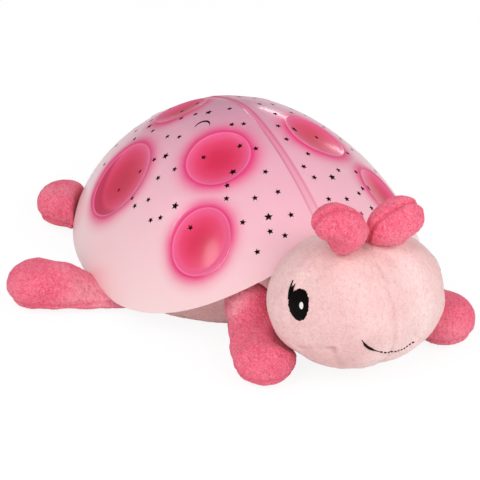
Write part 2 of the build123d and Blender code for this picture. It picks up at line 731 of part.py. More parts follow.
with BuildPart() as control_board_screws:
    for side in (-1, 1):
        with Locations(board_back.location * Location((side * POST_X, 0, 0))):
            add(screw(CONTROL_SCREW_LENGTH))
finish(control_board_screws, "control_board_screws")

# ================= plush =================

belly_top = plate_bottom - SOFT_GAP
window_length = door_length + 2 * DOOR_EAR + 2 * DOOR_LEDGE
window_width = door_width + 2 * WINDOW_MARGIN
flap_length = window_length + 2 * FLAP_OVERLAP
flap_width = window_width + 2 * FLAP_OVERLAP
flap_top = FLAP_LIFT + FLAP_THICKNESS
recess_top = flap_top + 2 * TAPE_THICKNESS + SOFT_GAP
tape_y = BOX_Y - flap_width / 2 + FLAP_OVERLAP / 2


def leg_form(leg_name, grow):
    """Stuffed paddle on the floor between its root and tip circles, larger by grow."""
    root, tip = LEGS[leg_name]
    with BuildPart() as form:
        with BuildSketch():
            with Locations(root):
                Circle(LEG_ROOT_RADIUS + grow)
            with Locations(tip):
                Circle(LEG_TIP_RADIUS + grow)
            make_hull()
        extrude(amount=LEG_THICKNESS + grow)
        fillet(form.edges().group_by(Axis.Z)[-1] + form.edges().group_by(Axis.Z)[0], LEG_ROUNDING)
        if leg_name in FRONT_LEGS:
            with Locations((root[0], root[1], SHOULDER_LIFT)):
                Sphere(SHOULDER_RADIUS + grow)
    return form.part


low_arch = neck_arch.part.moved(Location((0, 0, -SOFT_GAP)))

# space that the limbs stay out of
with BuildPart() as body_room:
    add(dome_form(SOFT_GAP))
    add(low_arch, mode=Mode.SUBTRACT)
    add(belly_oval(-SOFT_GAP, -SOFT_GAP, DOME_HEIGHT / 2))

with BuildPart() as neck:
    with BuildSketch(Plane.XY.offset(belly_top / 2)):
        with Locations((0, NECK_CENTRE_Y)):
            Ellipse(NECK_HALF_WIDTH, NECK_HALF_LENGTH)
        with Locations((0, BELLY_CENTRE_Y)):
            Ellipse(BELLY_HALF_WIDTH, BELLY_HALF_LENGTH)
    extrude(amount=DOME_HEIGHT)
    add(belly_oval(WRAP - SOFT_GAP, -DOME_HEIGHT, 2 * DOME_HEIGHT), mode=Mode.SUBTRACT)
    add(dome_form(-NECK_INSET), mode=Mode.INTERSECT)
    add(low_arch, mode=Mode.INTERSECT)

head_grown = ellipsoid_form(grown(HEAD_HALF_AXES, SOFT_GAP)).moved(Location(HEAD_CENTRE))

# the belly's top, pressed into the opening of the shell
with BuildPart() as belly_crown:
    with BuildSketch(Plane.XY.offset(RIM_HEIGHT - SOFT_GAP)):
        with Locations((0, SHELL_CENTRE_Y)):
            Ellipse(SHELL_WIDTH / 2 - NECK_INSET, SHELL_LENGTH / 2 - NECK_INSET)
    extrude(amount=belly_top - RIM_HEIGHT + SOFT_GAP)
    add(belly_oval(0, 0, belly_top), mode=Mode.INTERSECT)

with BuildPart() as plush_body:
    add(belly_oval(0, 0, RIM_HEIGHT - SOFT_GAP))
    fillet(plush_body.faces().sort_by(Axis.Z)[0].edges(), BELLY_ROUNDING)
    add(belly_crown.part)
    add(neck.part)
    add(head_grown, mode=Mode.SUBTRACT)
    for name in FRONT_LEGS:
        add(leg_form(name, SOFT_GAP), mode=Mode.SUBTRACT)
    with BuildSketch():
        with Locations((0, BOX_Y)):
            RectangleRounded(window_length, window_width, BOX_WALL)
    extrude(amount=belly_top + SOFT_GAP, mode=Mode.SUBTRACT)
    with BuildSketch():
        with Locations((0, BOX_Y)):
            RectangleRounded(flap_length + 2 * SOFT_GAP, flap_width + 2 * SOFT_GAP, RECESS_CORNER)
    extrude(amount=recess_top, mode=Mode.SUBTRACT)
finish(plush_body, "plush_body")

with BuildPart() as belly_flap:
    with BuildSketch(Plane.XY.offset(FLAP_LIFT)):
        with Locations((0, BOX_Y)):
            RectangleRounded(flap_length, flap_width, FLAP_CORNER)
    extrude(amount=FLAP_THICKNESS)
    fillet(belly_flap.edges().filter_by(GeomType.LINE).filter_by(Plane.XY), HEM_ROUNDING)
finish(belly_flap, "belly_flap")


def tape(bottom):
    """Strip of hook-and-loop tape along the flap's free edge."""
    with BuildPart() as strip:
        with BuildSketch(Plane.XY.offset(bottom)):
            with Locations((0, tape_y)):
                Rectangle(flap_length - 2 * FLAP_CORNER, TAPE_WIDTH)
        extrude(amount=TAPE_THICKNESS)
    return strip


finish(tape(flap_top), "flap_hook_tape")
finish(tape(recess_top - TAPE_THICKNESS), "belly_loop_tape")

with BuildPart() as head:
    add(ellipsoid_form(HEAD_HALF_AXES).moved(Location(HEAD_CENTRE)))
    add(body_room.part, mode=Mode.SUBTRACT)
finish(head, "head")

for name in LEGS:
    with BuildPart() as leg:
        add(leg_form(name, 0))
        add(body_room.part, mode=Mode.SUBTRACT)
        if name in FRONT_LEGS:
            add(head_grown, mode=Mode.SUBTRACT)
    finish(leg, name)


def antenna_club(side):
    """Round-ended club about the antenna's centre, with its long axis rising outwards."""
    x, y, z = ANTENNA_CENTRE
    reach = ANTENNA_HALF_LENGTH - ANTENNA_RADIUS
    with BuildPart() as club:
        Cylinder(ANTENNA_RADIUS, 2 * reach, rotation=(0, 90, 0))
        with Locations((-reach, 0, 0), (reach, 0, 0)):
            Sphere(ANTENNA_RADIUS)
    middle = Location((ANTENNA_MIDDLE_X, 0, 0))
    return club.part.moved(middle * Location((side * x, y, z), (0, -side * ANTENNA_LIFT, 0)))


for side, antenna_name in ((-1, "right_antenna"), (1, "left_antenna")):
    with BuildPart() as antenna:
        add(antenna_club(side))
        bx, by, bz = ANTENNA_BASE
        with Locations((ANTENNA_MIDDLE_X + side * bx, by, bz)):
            Cylinder(ANTENNA_STEM_RADIUS, ANTENNA_STEM_HEIGHT,
                     align=(Align.CENTER, Align.CENTER, Align.MIN))
        add(head_grown, mode=Mode.SUBTRACT)
        with Locations((ANTENNA_MIDDLE_X + side * SOFT_GAP / 2, 0, 0)):
            Box(SHELL_WIDTH, SHELL_LENGTH * 2, DOME_HEIGHT * 4,
                align=(Align.MIN if side > 0 else Align.MAX, Align.CENTER, Align.CENTER),
                mode=Mode.INTERSECT)
    finish(antenna, antenna_name)
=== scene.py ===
import random
from math import asin, copysign, cos, hypot, pi, radians, sin, sqrt

import bmesh
import bpy
import numpy as np
from mathutils import Matrix, Vector, noise
from mathutils.bvhtree import BVHTree


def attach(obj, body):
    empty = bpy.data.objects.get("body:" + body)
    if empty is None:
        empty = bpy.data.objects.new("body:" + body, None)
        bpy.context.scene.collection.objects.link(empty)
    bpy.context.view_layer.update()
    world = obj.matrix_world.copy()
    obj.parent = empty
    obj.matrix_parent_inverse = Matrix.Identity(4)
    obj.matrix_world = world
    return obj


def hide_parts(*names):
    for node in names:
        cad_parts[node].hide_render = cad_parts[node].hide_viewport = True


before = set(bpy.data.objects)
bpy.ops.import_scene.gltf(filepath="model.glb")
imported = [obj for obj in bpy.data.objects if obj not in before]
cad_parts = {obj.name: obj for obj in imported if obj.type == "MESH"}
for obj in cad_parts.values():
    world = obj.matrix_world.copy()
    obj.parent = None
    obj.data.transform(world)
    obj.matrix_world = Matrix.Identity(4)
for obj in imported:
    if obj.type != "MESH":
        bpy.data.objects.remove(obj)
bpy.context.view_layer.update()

MM = 0.001

# ---- the shell's sizes in mm
SHELL_WIDTH = 186.0
SHELL_LENGTH = 244.0
DOME_HEIGHT = 85.0
RIM_HEIGHT = 7.6
SHELL_WALL = 2.0
SHELL_CENTRE_Y = 18.0
PROFILE_POWER = 1.6
ARCH_HEIGHT = 44.0
ARCH_POWER = 1.65
BAND_WIDTH = 6.4
BAND_DEPTH = 0.6
BAND_EDGE = 0.25  # softness of the step at the band's edge
BAND_TAPER = 0.5  # the band's share that is lost from its foot to the apex
BAND_FOOT = 20.0
BAND_FADE = 6.0  # the band sinks in over this height above the rim
# place across, place along, rim radius, and how far the rim is squeezed into an oval
SPOTS = [(30.0, -8.0, 17.5, 1.0), (56.0, -39.0, 18.3, 0.85),
         (66.0, 43.0, 23.5, 1.0), (19.0, 59.0, 16.0, 1.0)]
OVAL_LEAN = (0.67, -0.74)  # the oval's short axis on the dome, across and along
SPOT_DEPTH_RATIO = 0.17
SPOT_EDGE = 0.6  # depth over which a dish's edge is rounded
DISH_REACH = 1.12  # shares of the radius up to which the dish and its ring change the dome
RING_REACH = 1.25
DOME_CURVATURE_RADIUS = 100.0
RING_HEIGHT = 0.22
RING_WIDTH = 1.1
PANEL_Y = SHELL_CENTRE_Y + 85.0
PANEL_LENGTH = 50.0
PANEL_WIDTH = 19.0
STAR_COUNT = 205
STAR_RADIUS = 1.8
LARGE_STAR_RADIUS = 2.4
LARGE_STAR_EVERY = 9
STAR_CORNERS = 5
STAR_INNER_RATIO = 0.48
STAR_SPACING = 5.5
STAR_FIELD = 0.8  # share of the shell's half sizes that the stars spread over
STAR_SCATTER = 3.2
STAR_SCATTER_TURNS = (5.3, 3.7)
LOWEST_STAR_HEIGHT = 47.0
# what a star keeps clear of
BAND_MARGIN = 3.6
SPOT_MARGIN = 2.6
PANEL_MARGIN = 6.0
CRESCENT_MARGIN = 4.0
CRESCENT_PLACE = (-25.0, 20.0)
CRESCENT_RADIUS = 4.6
CRESCENT_SHIFT = 1.5
CRESCENT_TURN = radians(-45)
CRESCENT_TIP_ANGLE = 0.02  # by which the outer arc stops short of each tip
CRESCENT_INNER_SHARE = 0.985
CRESCENT_STEPS = 14
PANEL_END_STEPS = 16
ARCH_STEPS = 60
# how far the cutters reach below and above the dome
HOLE_CUT = (-8.0, 3.0)
PANEL_CUT = (-14.0, 8.0)
ARCH_FOOT = -5.0
GOLDEN_ANGLE = pi * (3 - sqrt(5))
all_spots = [(side * x, y, r, squeeze) for x, y, r, squeeze in SPOTS for side in (-1, 1)]

HEAD_CENTRE = np.array((0.0, -100.0, 36.7))


# ---- camera and studio
CAMERA_PLACE = (-336.87, -619.17, 406.27)  # mm
CAMERA_AIM = (-25.0, -23.9, 37.0)  # mm
CAMERA_LENS = 108.2
CAMERA_SENSOR = 36.0
CAMERA_CLIP = (0.01, 50.0)  # m
# place, aim and size in m, and power in W; the shell doesn't mirror these broad lamps
SOFTBOXES = {
    "key_softbox": ((-0.9, -0.5, 1.15), (0, 0, 0.05), (0.8, 0.8), 6.8),
    "front_softbox": ((0.3, -1.3, 1.05), (0, -0.05, 0.04), (1.1, 0.7), 7.0),
    "right_softbox": ((1.0, -0.85, 0.6), (0, 0, 0.05), (0.5, 0.8), 3.8),
    "low_left_softbox": ((-0.9, -1.0, 0.28), (0, -0.05, 0.02), (0.7, 0.4), 1.2),
}
ROOM_STRENGTH = 0.5
MIRRORED_ROOM_STRENGTH = 0.28


def assign(thing, values):
    for key, value in values.items():
        setattr(thing, key, value)


def feed(node, **values):
    """Constants for a node's inputs, whose names have _ for each space."""
    for key, value in values.items():
        node.inputs[key.replace("_", " ")].default_value = value


def linked(name, data):
    """New object of the data, in the scene."""
    obj = bpy.data.objects.new(name, data)
    bpy.context.scene.collection.objects.link(obj)
    return obj


def area_light(name, place, aim, size, power, shape="RECTANGLE"):
    data = bpy.data.lights.new(name, "AREA")
    data.shape = shape
    data.size, data.size_y = size
    data.energy = power
    lamp = linked(name, data)
    lamp.location = place
    lamp.rotation_euler = (Vector(aim) - Vector(place)).to_track_quat("-Z", "Y").to_euler()
    return lamp


camera = linked("camera", bpy.data.cameras.new("camera"))
camera.location = Vector(CAMERA_PLACE) * MM
view = Vector(CAMERA_AIM) - Vector(CAMERA_PLACE)
camera.rotation_euler = view.to_track_quat("-Z", "Y").to_euler()
camera.data.lens = CAMERA_LENS
camera.data.sensor_width = CAMERA_SENSOR
camera.data.clip_start, camera.data.clip_end = CAMERA_CLIP
bpy.context.scene.camera = camera
bpy.context.scene.view_settings.view_transform = "Standard"

for softbox, settings in SOFTBOXES.items():
    area_light(softbox, *settings).visible_glossy = False
area_light("back_strip", (1.0, 1.08, 0.46), (0, 0, 0.08), (0.35, 0.12), 1.0)
area_light("left_panel", (-0.98, 0.42, 0.99), (-0.05, -0.04, 0.05), (0.34, 0.2), 1.5, "ELLIPSE")

world = bpy.data.worlds.new("studio")
bpy.context.scene.world = world
world.use_nodes = True
world_tree = world.node_tree


def background(node, colour, strength):
    feed(node, Color=(*colour, 1), Strength=strength)
    return node.outputs[0]


def either(ray, otherwise, when):
    """One background for a kind of ray, and another for the rest."""
    choice = world_tree.nodes.new("ShaderNodeMixShader")
    world_tree.links.new(rays[ray], choice.inputs[0])
    world_tree.links.new(otherwise, choice.inputs[1])
    world_tree.links.new(when, choice.inputs[2])
    return choice.outputs[0]


rays = world_tree.nodes.new("ShaderNodeLightPath").outputs
lit = background(world_tree.nodes["Background"], (0.97, 0.97, 1.0), ROOM_STRENGTH)
seen = background(world_tree.nodes.new("ShaderNodeBackground"), (1, 1, 1), 1.0)
# the walls of the studio that the shell mirrors are dimmer than the light they give
mirrored_walls = background(world_tree.nodes.new("ShaderNodeBackground"), (1.0, 0.93, 0.95),
                            MIRRORED_ROOM_STRENGTH)
room = either("Is Camera Ray", either("Is Glossy Ray", lit, mirrored_walls), seen)
world_tree.links.new(room, world_tree.nodes["World Output"].inputs["Surface"])


# ---- material helpers
class Mat:
    """Small node-tree builder for one material."""

    def __init__(self, name):
        self.m = bpy.data.materials.new(name)
        self.m.use_nodes = True
        self.t = self.m.node_tree
        self.b = self.t.nodes["Principled BSDF"]
        self.out = self.t.nodes["Material Output"]

    def set(self, **values):
        feed(self.b, **values)

    def node(self, kind, **values):
        n = self.t.nodes.new("ShaderNode" + kind)
        assign(n, values)
        return n

    def link(self, a, b):
        self.t.links.new(a, b)

    def plug(self, v, socket):
        """Link another node's output, or set a number or a colour."""
        if isinstance(v, bpy.types.NodeSocket):
            self.link(v, socket)
        else:
            socket.default_value = (*v, 1) if isinstance(v, tuple) else v

    def place(self):
        return self.node("TexCoord").outputs["Object"]

    def maths(self, op, a, b=None, c=None):
        n = self.node("Math", operation=op)
        for socket, v in zip(n.inputs, (a, b, c)):
            if v is not None:
                self.plug(v, socket)
        return n.outputs[0]

    def times(self, a, b):
        return self.maths("MULTIPLY", a, b)

    def vector_maths(self, op, a, b=None):
        n = self.node("VectorMath", operation=op)
        self.link(a, n.inputs[0])
        if b is not None:
            n.inputs[1].default_value = tuple(b)
        return n.outputs

    def noise(self, scale, detail=4, rough=0.5, vector=None, distortion=0.0):
        n = self.node("TexNoise")
        feed(n, Scale=scale, Detail=detail, Roughness=rough, Distortion=distortion)
        self.link(vector if vector is not None else self.place(), n.inputs["Vector"])
        return n.outputs["Fac"]

    def ramp(self, fac, stops, interpolation="LINEAR"):
        n = self.node("ValToRGB")
        n.color_ramp.interpolation = interpolation
        while len(n.color_ramp.elements) < len(stops):
            n.color_ramp.elements.new(0.5)
        for e, (pos, colour) in zip(n.color_ramp.elements, stops):
            e.position = pos
            e.color = (*colour, 1)
        self.link(fac, n.inputs["Fac"])
        return n.outputs["Color"]

    def mix(self, fac, a, b):
        n = self.node("Mix", data_type="RGBA")
        for number, v in ((0, fac), (6, a), (7, b)):
            self.plug(v, n.inputs[number])
        return n.outputs[2]

    def colour(self, socket):
        self.link(socket, self.b.inputs["Base Color"])

    def mottled(self, scale, detail, low, high):
        """Base colour of noise between two tones."""
        self.colour(self.ramp(self.noise(scale, detail), [(0.3, low), (0.7, high)]))

    def bump(self, height, strength, distance):
        """Bump on top of any that the shader has already."""
        n = self.node("Bump")
        feed(n, Strength=strength, Distance=distance)
        self.link(height, n.inputs["Height"])
        last = self.b.inputs["Normal"].links
        if last:
            self.link(last[0].from_socket, n.inputs["Normal"])
        self.link(n.outputs["Normal"], self.b.inputs["Normal"])


def srgb(r, g, b):
    """Linear colour from an sRGB one, 0 to 255."""
    return tuple(v / 12.92 if v <= 0.04045 else ((v + 0.055) / 1.055) ** 2.4
                 for v in (r / 255, g / 255, b / 255))


def grey(v):
    return (v, v, v)


def shaded(colour, share):
    return tuple(min(1, v * share) for v in colour)


# ---- curves shared by the shapes
def unit(values):
    return np.clip(values, 0, 1)


def bell(distance, width):
    return np.exp(-((distance / width) ** 2))


def eased(t):
    return t**2 * (3 - 2 * t)


# ---- the dome's formula
def dome_z(x, y):
    """Height of the dome's outer face at plan points, in mm, as arrays."""
    share = np.hypot(x / (SHELL_WIDTH / 2), (y - SHELL_CENTRE_Y) / (SHELL_LENGTH / 2))
    share = unit(share)
    return RIM_HEIGHT + DOME_HEIGHT * (1 - share**PROFILE_POWER) ** (1 / PROFILE_POWER)


def dome_normal(x, y):
    d = 0.05
    sx = (dome_z(x + d, y) - dome_z(x - d, y)) / (2 * d)
    sy = (dome_z(x, y + d) - dome_z(x, y - d)) / (2 * d)
    n = np.stack((-sx, -sy, np.ones_like(sx)), -1)
    return n / np.linalg.norm(n, axis=-1, keepdims=True)


def point_on_dome(x, y):
    return np.array((x, y, float(dome_z(np.array(float(x)), np.array(float(y))))))


def normal_on_dome(x, y):
    return dome_normal(np.array(float(x)), np.array(float(y)))


def short_axis(x, y):
    """Direction on the dome in which an oval spot is squeezed."""
    n = normal_on_dome(x, y)
    across = np.array((1.0, 0, 0)) - n[0] * n
    across /= np.linalg.norm(across)
    return -copysign(OVAL_LEAN[0], x) * across + OVAL_LEAN[1] * np.cross(n, across)


def arch_z(x):
    """Height above the rim of the opening over the neck."""
    half = SHELL_WIDTH / 2 - SHELL_WALL
    t = unit(np.abs(x) / half)
    return RIM_HEIGHT + ARCH_HEIGHT * (1 - t**ARCH_POWER)


def shade_smooth(mesh):
    mesh.polygons.foreach_set("use_smooth", [True] * len(mesh.polygons))


def rows(elements, kind):
    """A vector of each vertex or face, as rows of X, Y and Z."""
    values = np.zeros(len(elements) * 3)
    elements.foreach_get(kind, values)
    return values.reshape(-1, 3)


def mesh_object(name, verts, faces, smooth=True):
    mesh = bpy.data.meshes.new(name)
    mesh.from_pydata([tuple(v) for v in verts], [], faces)
    mesh.update()
    if smooth:
        shade_smooth(mesh)
    return linked(name, mesh)


def apply_modifiers(obj):
    dg = bpy.context.evaluated_depsgraph_get()
    mesh = bpy.data.meshes.new_from_object(obj.evaluated_get(dg))
    old = obj.data
    obj.modifiers.clear()
    obj.data = mesh
    bpy.data.meshes.remove(old)
    return obj


# ---- star shell
RINGS = 150
SPOKES = 480


def dished(points, wall):
    """Push points inside the spots down to the dishes, with a raised ring at each edge."""
    out = points.copy()
    for sx, sy, radius, squeeze in all_spots:
        centre = point_on_dome(sx, sy)
        n = normal_on_dome(sx, sy)
        rel = points - centre
        along = rel @ n
        flat = rel - along[:, None] * n
        squeezed = (1 / squeeze**2 - 1) * (flat @ short_axis(sx, sy)) ** 2
        dist = np.sqrt((flat**2).sum(1) + squeezed)
        depth = SPOT_DEPTH_RATIO * radius
        sphere = 1 / (2 * depth / radius**2 - 1 / DOME_CURVATURE_RADIUS)
        top = (sphere - depth) - np.sqrt(np.clip((sphere + wall) ** 2 - dist**2, 0, None))
        drop = np.minimum(along, top)
        # soften the edge, then lift a small rounded ring on it
        blend = unit((along - top) / SPOT_EDGE)
        lowered = along * (1 - blend) + drop * blend
        new_along = np.where(dist < radius * DISH_REACH, lowered, along)
        ring = RING_HEIGHT * bell(dist - radius, RING_WIDTH)
        shift = np.where(dist < radius * RING_REACH, new_along - along + ring, 0)
        out += shift[:, None] * n
    return out


def shell_sheet(inner):
    """Grid of the dome's face from the apex to the rim, in mm."""
    wall = SHELL_WALL if inner else 0.0
    ring = np.sin(np.linspace(0, 1, RINGS + 1) * pi / 2)
    angle = np.linspace(0, 2 * pi, SPOKES, endpoint=False)
    r, a = np.meshgrid(ring[1:], angle, indexing="ij")
    half_w = SHELL_WIDTH / 2 - wall
    half_l = SHELL_LENGTH / 2 - wall
    height = DOME_HEIGHT - wall
    turn = np.arccos(unit(r) ** (PROFILE_POWER / 2))
    share = np.cos(turn) ** (2 / PROFILE_POWER)
    z = np.sin(turn) ** (2 / PROFILE_POWER) * height + RIM_HEIGHT
    x = half_w * share * np.cos(a)
    y = SHELL_CENTRE_Y + half_l * share * np.sin(a)
    pts = np.stack((x.ravel(), y.ravel(), z.ravel()), -1)
    pts = np.vstack((pts, [[0, SHELL_CENTRE_Y, RIM_HEIGHT + height]]))
    pts = dished(pts, wall)
    if not inner:
        # sunken band between the two wing cases, narrower towards the apex
        ax = np.abs(pts[:, 0])
        fade = unit((pts[:, 2] - RIM_HEIGHT) / BAND_FADE)
        climb = unit((pts[:, 2] - BAND_FOOT) / (RIM_HEIGHT + DOME_HEIGHT - BAND_FOOT))
        half = BAND_WIDTH / 2 * (1 - BAND_TAPER * climb)
        sink = BAND_DEPTH * (1 / (1 + np.exp((ax - half) / BAND_EDGE)))
        pts[:, 2] -= sink * fade
    return pts


def shell_mesh():
    outer = shell_sheet(False)
    count = len(outer)

    def side(ring, spoke):
        return ring * SPOKES + spoke, ring * SPOKES + (spoke + 1) % SPOKES

    faces = [(count - 1, *side(0, s)) for s in range(SPOKES)]
    for ring in range(RINGS - 1):
        for s in range(SPOKES):
            a, b = side(ring, s)
            c, d = side(ring + 1, s)
            faces.append((a, c, d, b))
    faces += [tuple(v + count for v in face[::-1]) for face in faces]
    for s in range(SPOKES):
        a, b = side(RINGS - 1, s)
        faces.append((a, a + count, b + count, b))
    verts = np.vstack((outer, shell_sheet(True))) * MM
    return mesh_object("star_shell_detailed", verts, faces)


def star_places():
    """Scattered places that miss the band, the spots' rims, the crescent and the panel."""
    places = []
    for i in range(STAR_COUNT):
        share = sqrt((i + 0.5) / STAR_COUNT) * STAR_FIELD
        angle = i * GOLDEN_ANGLE
        shift_x, shift_y = (STAR_SCATTER * sin(turns * i) for turns in STAR_SCATTER_TURNS)
        x = SHELL_WIDTH / 2 * share * cos(angle) + shift_x
        y = SHELL_CENTRE_Y + SHELL_LENGTH / 2 * share * sin(angle) + shift_y
        here = point_on_dome(x, y)
        gaps = [np.linalg.norm(here - point_on_dome(sx, sy)) - r for sx, sy, r, _ in all_spots]
        on_band = abs(x) < BAND_WIDTH / 2 + BAND_MARGIN
        on_rim = min(abs(gap) for gap in gaps) < SPOT_MARGIN
        skipped = min(gaps) < 0 and i % 2  # the spots carry half as many stars
        on_panel = abs(x) < PANEL_LENGTH / 2 + PANEL_MARGIN and y > PANEL_Y - PANEL_WIDTH
        to_crescent = hypot(x - CRESCENT_PLACE[0], y - CRESCENT_PLACE[1])
        on_crescent = to_crescent < CRESCENT_RADIUS + CRESCENT_MARGIN
        crowded = any(hypot(x - px, y - py) < STAR_SPACING for px, py, _ in places)
        if on_band or on_rim or skipped or on_panel or on_crescent or crowded:
            continue
        places.append((x, y, STAR_RADIUS if i % LARGE_STAR_EVERY else LARGE_STAR_RADIUS))
    return places


def frame_at(x, y):
    """Matrix of the tangent plane on the dome, x across the toy."""
    n = Vector(normal_on_dome(x, y))
    across = Vector((1, 0, 0))
    across = (across - across.dot(n) * n).normalized()
    along = n.cross(across)
    m = Matrix((across, along, n)).transposed().to_4x4()
    m.translation = Vector(point_on_dome(x, y))
    return m


def prism(bm, outline, matrix, low, high):
    """Closed prism of an outline in the matrix's XY plane, in mm, added to the bmesh in metres."""
    bottom, top = ([bm.verts.new((matrix @ Vector((x, y, z))) * MM) for x, y in outline]
                   for z in (low, high))
    bm.faces.new(bottom[::-1])
    bm.faces.new(top)
    for i in range(len(outline)):
        j = (i + 1) % len(outline)
        bm.faces.new((bottom[i], bottom[j], top[j], top[i]))


def star_outline(radius, turn):
    outline = []
    for corner in range(2 * STAR_CORNERS):
        reach = radius if corner % 2 == 0 else radius * STAR_INNER_RATIO
        a = radians(turn + 180 / STAR_CORNERS * corner)
        outline.append((reach * cos(a), reach * sin(a)))
    return outline


def arc(centre, radii, start, end, steps):
    """Points of an arc about a plan point, whose radii are across and along."""
    angles = [start + (end - start) * i / steps for i in range(steps + 1)]
    return [(centre[0] + radii[0] * cos(a), centre[1] + radii[1] * sin(a))
            for a in angles]


def crescent_outline():
    """An arc of the round hole and, back from its far tip, the arc that bites into it."""
    meet = asin(sqrt(1 - (CRESCENT_SHIFT / 2 / CRESCENT_RADIUS) ** 2))
    tip = pi / 2 - meet
    first, last = -tip + CRESCENT_TIP_ANGLE, pi + tip - CRESCENT_TIP_ANGLE
    bite = (CRESCENT_RADIUS * CRESCENT_INNER_SHARE, CRESCENT_RADIUS)
    return (arc((0, 0), (CRESCENT_RADIUS, CRESCENT_RADIUS), first, last, CRESCENT_STEPS)
            + arc((0, -CRESCENT_SHIFT), bite, last + tip, first - tip, CRESCENT_STEPS))


def panel_outline():
    """Slot with round ends."""
    half, radius, turn = (PANEL_LENGTH - PANEL_WIDTH) / 2, PANEL_WIDTH / 2, pi / 2
    return (arc((half, 0), (radius, radius), -turn, turn, PANEL_END_STEPS)
            + arc((-half, 0), (radius, radius), turn, 3 * turn, PANEL_END_STEPS))


def cutters():
    """One mesh of all that is cut from the shell."""
    bm = bmesh.new()
    rng = random.Random(11)
    for x, y, radius in star_places():
        turn = rng.uniform(0, 360 / STAR_CORNERS)
        prism(bm, star_outline(radius, turn), frame_at(x, y), *HOLE_CUT)
    turned = frame_at(*CRESCENT_PLACE) @ Matrix.Rotation(CRESCENT_TURN, 4, "Z")
    prism(bm, crescent_outline(), turned, *HOLE_CUT)
    prism(bm, panel_outline(), frame_at(0, PANEL_Y), *PANEL_CUT)
    # arch over the neck, a prism along Y from in front of the shell to its middle
    half = SHELL_WIDTH / 2 - SHELL_WALL
    outline = [(float(x), float(arch_z(x))) for x in np.linspace(-half, half, ARCH_STEPS + 1)]
    upright = Matrix(((1, 0, 0, 0), (0, 0, 1, 0), (0, 1, 0, 0), (0, 0, 0, 1)))
    prism(bm, outline + [(half, ARCH_FOOT), (-half, ARCH_FOOT)], upright,
          -SHELL_LENGTH, SHELL_CENTRE_Y)
    bmesh.ops.recalc_face_normals(bm, faces=bm.faces)
    mesh = bpy.data.meshes.new("cutters")
    bm.to_mesh(mesh)
    bm.free()
    return linked("cutters", mesh)


shell = shell_mesh()
cut = cutters()
boolean = shell.modifiers.new("holes", "BOOLEAN")
boolean.operation = "DIFFERENCE"
boolean.solver = "MANIFOLD"
boolean.object = cut
apply_modifiers(shell)
bpy.data.objects.remove(cut)
shade_smooth(shell.data)
shell.data.set_sharp_from_angle(angle=radians(38))
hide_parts("star_shell")
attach(shell, "toy")


def spot_distance(mat):
    """Distance in metres from the nearest spot's rim: negative inside, positive outside."""
    nearest = None
    for x, y, radius, squeeze in all_spots:
        rel = mat.vector_maths("SUBTRACT", mat.place(), point_on_dome(x, y) * MM)[0]
        far = mat.vector_maths("LENGTH", rel)["Value"]
        if squeeze < 1:
            along = mat.vector_maths("DOT_PRODUCT", rel, short_axis(x, y))["Value"]
            share = mat.times(mat.maths("POWER", along, 2), 1 / squeeze**2 - 1)
            far = mat.maths("SQRT", mat.maths("ADD", mat.maths("POWER", far, 2), share))
        d = mat.maths("SUBTRACT", far, radius * MM)
        nearest = d if nearest is None else mat.maths("MINIMUM", nearest, d)
    return nearest


def axis_value(mat, axis):
    split = mat.node("SeparateXYZ")
    mat.link(mat.place(), split.inputs[0])
    return split.outputs[axis]


# the spots' colour: crimson airbrushed dye in the dish and a hot pink halo of dye outside; a pale
# line on the rim is a painted highlight, and a darker line just outside it is painted shade
SPOT_REACH_IN = 0.024  # m
SPOT_REACH_OUT = 0.012
SPOT_REACH = SPOT_REACH_IN + SPOT_REACH_OUT
DYE_WOBBLE = 0.003
RIM_LINE_REACH = 0.004
BAND_EDGE_SHADE_REACH = 0.002
GROUND_TOP = 0.1  # height at the end of the ground's ramp
CRESCENT_SHADE_SHIFT = (5.0, -4.2)  # mm, of the circle in the spot left clear of the painted shade, inwards and forwards
CRESCENT_SHADE_REACH = 0.01
CRESCENT_SHADE_MIN_X = 0.04


def spot_stop(mm):
    return (mm * MM + SPOT_REACH_IN) / SPOT_REACH


pearl = Mat("pearl_shell_plastic")
distance = spot_distance(pearl)
wobble = pearl.times(pearl.maths("SUBTRACT", pearl.noise(55, 3), 0.5), DYE_WOBBLE)
spread = pearl.maths("MULTIPLY_ADD", pearl.maths("ADD", distance, wobble),
                     1 / SPOT_REACH, spot_stop(0))
dye = pearl.ramp(spread, [
    (spot_stop(-18), srgb(210, 28, 74)),
    (spot_stop(-11), srgb(220, 38, 84)),
    (spot_stop(-5), srgb(232, 62, 108)),
    (spot_stop(-1), srgb(236, 92, 140)),
    (spot_stop(1.5), srgb(232, 60, 126)),
    (spot_stop(6), srgb(236, 76, 136)),
])
cover = pearl.ramp(spread, [
    (spot_stop(1.2), grey(1)),
    (spot_stop(3.6), grey(0.66)),
    (spot_stop(6.6), grey(0.27)),
    (spot_stop(9.4), grey(0.08)),
    (spot_stop(12.0), grey(0)),
])
height = pearl.times(axis_value(pearl, "Z"), 1 / GROUND_TOP)
mottle = pearl.maths("SUBTRACT", pearl.noise(22, 4), 0.5)
ground = pearl.ramp(pearl.maths("MULTIPLY_ADD", mottle, 0.12, height), [
    (0.08, srgb(248, 216, 215)),
    (0.35, srgb(247, 206, 209)),
    (0.60, srgb(244, 188, 200)),
    (0.82, srgb(232, 170, 188)),
    (0.93, srgb(214, 148, 172)),
])
skin = pearl.mix(cover, ground, dye)
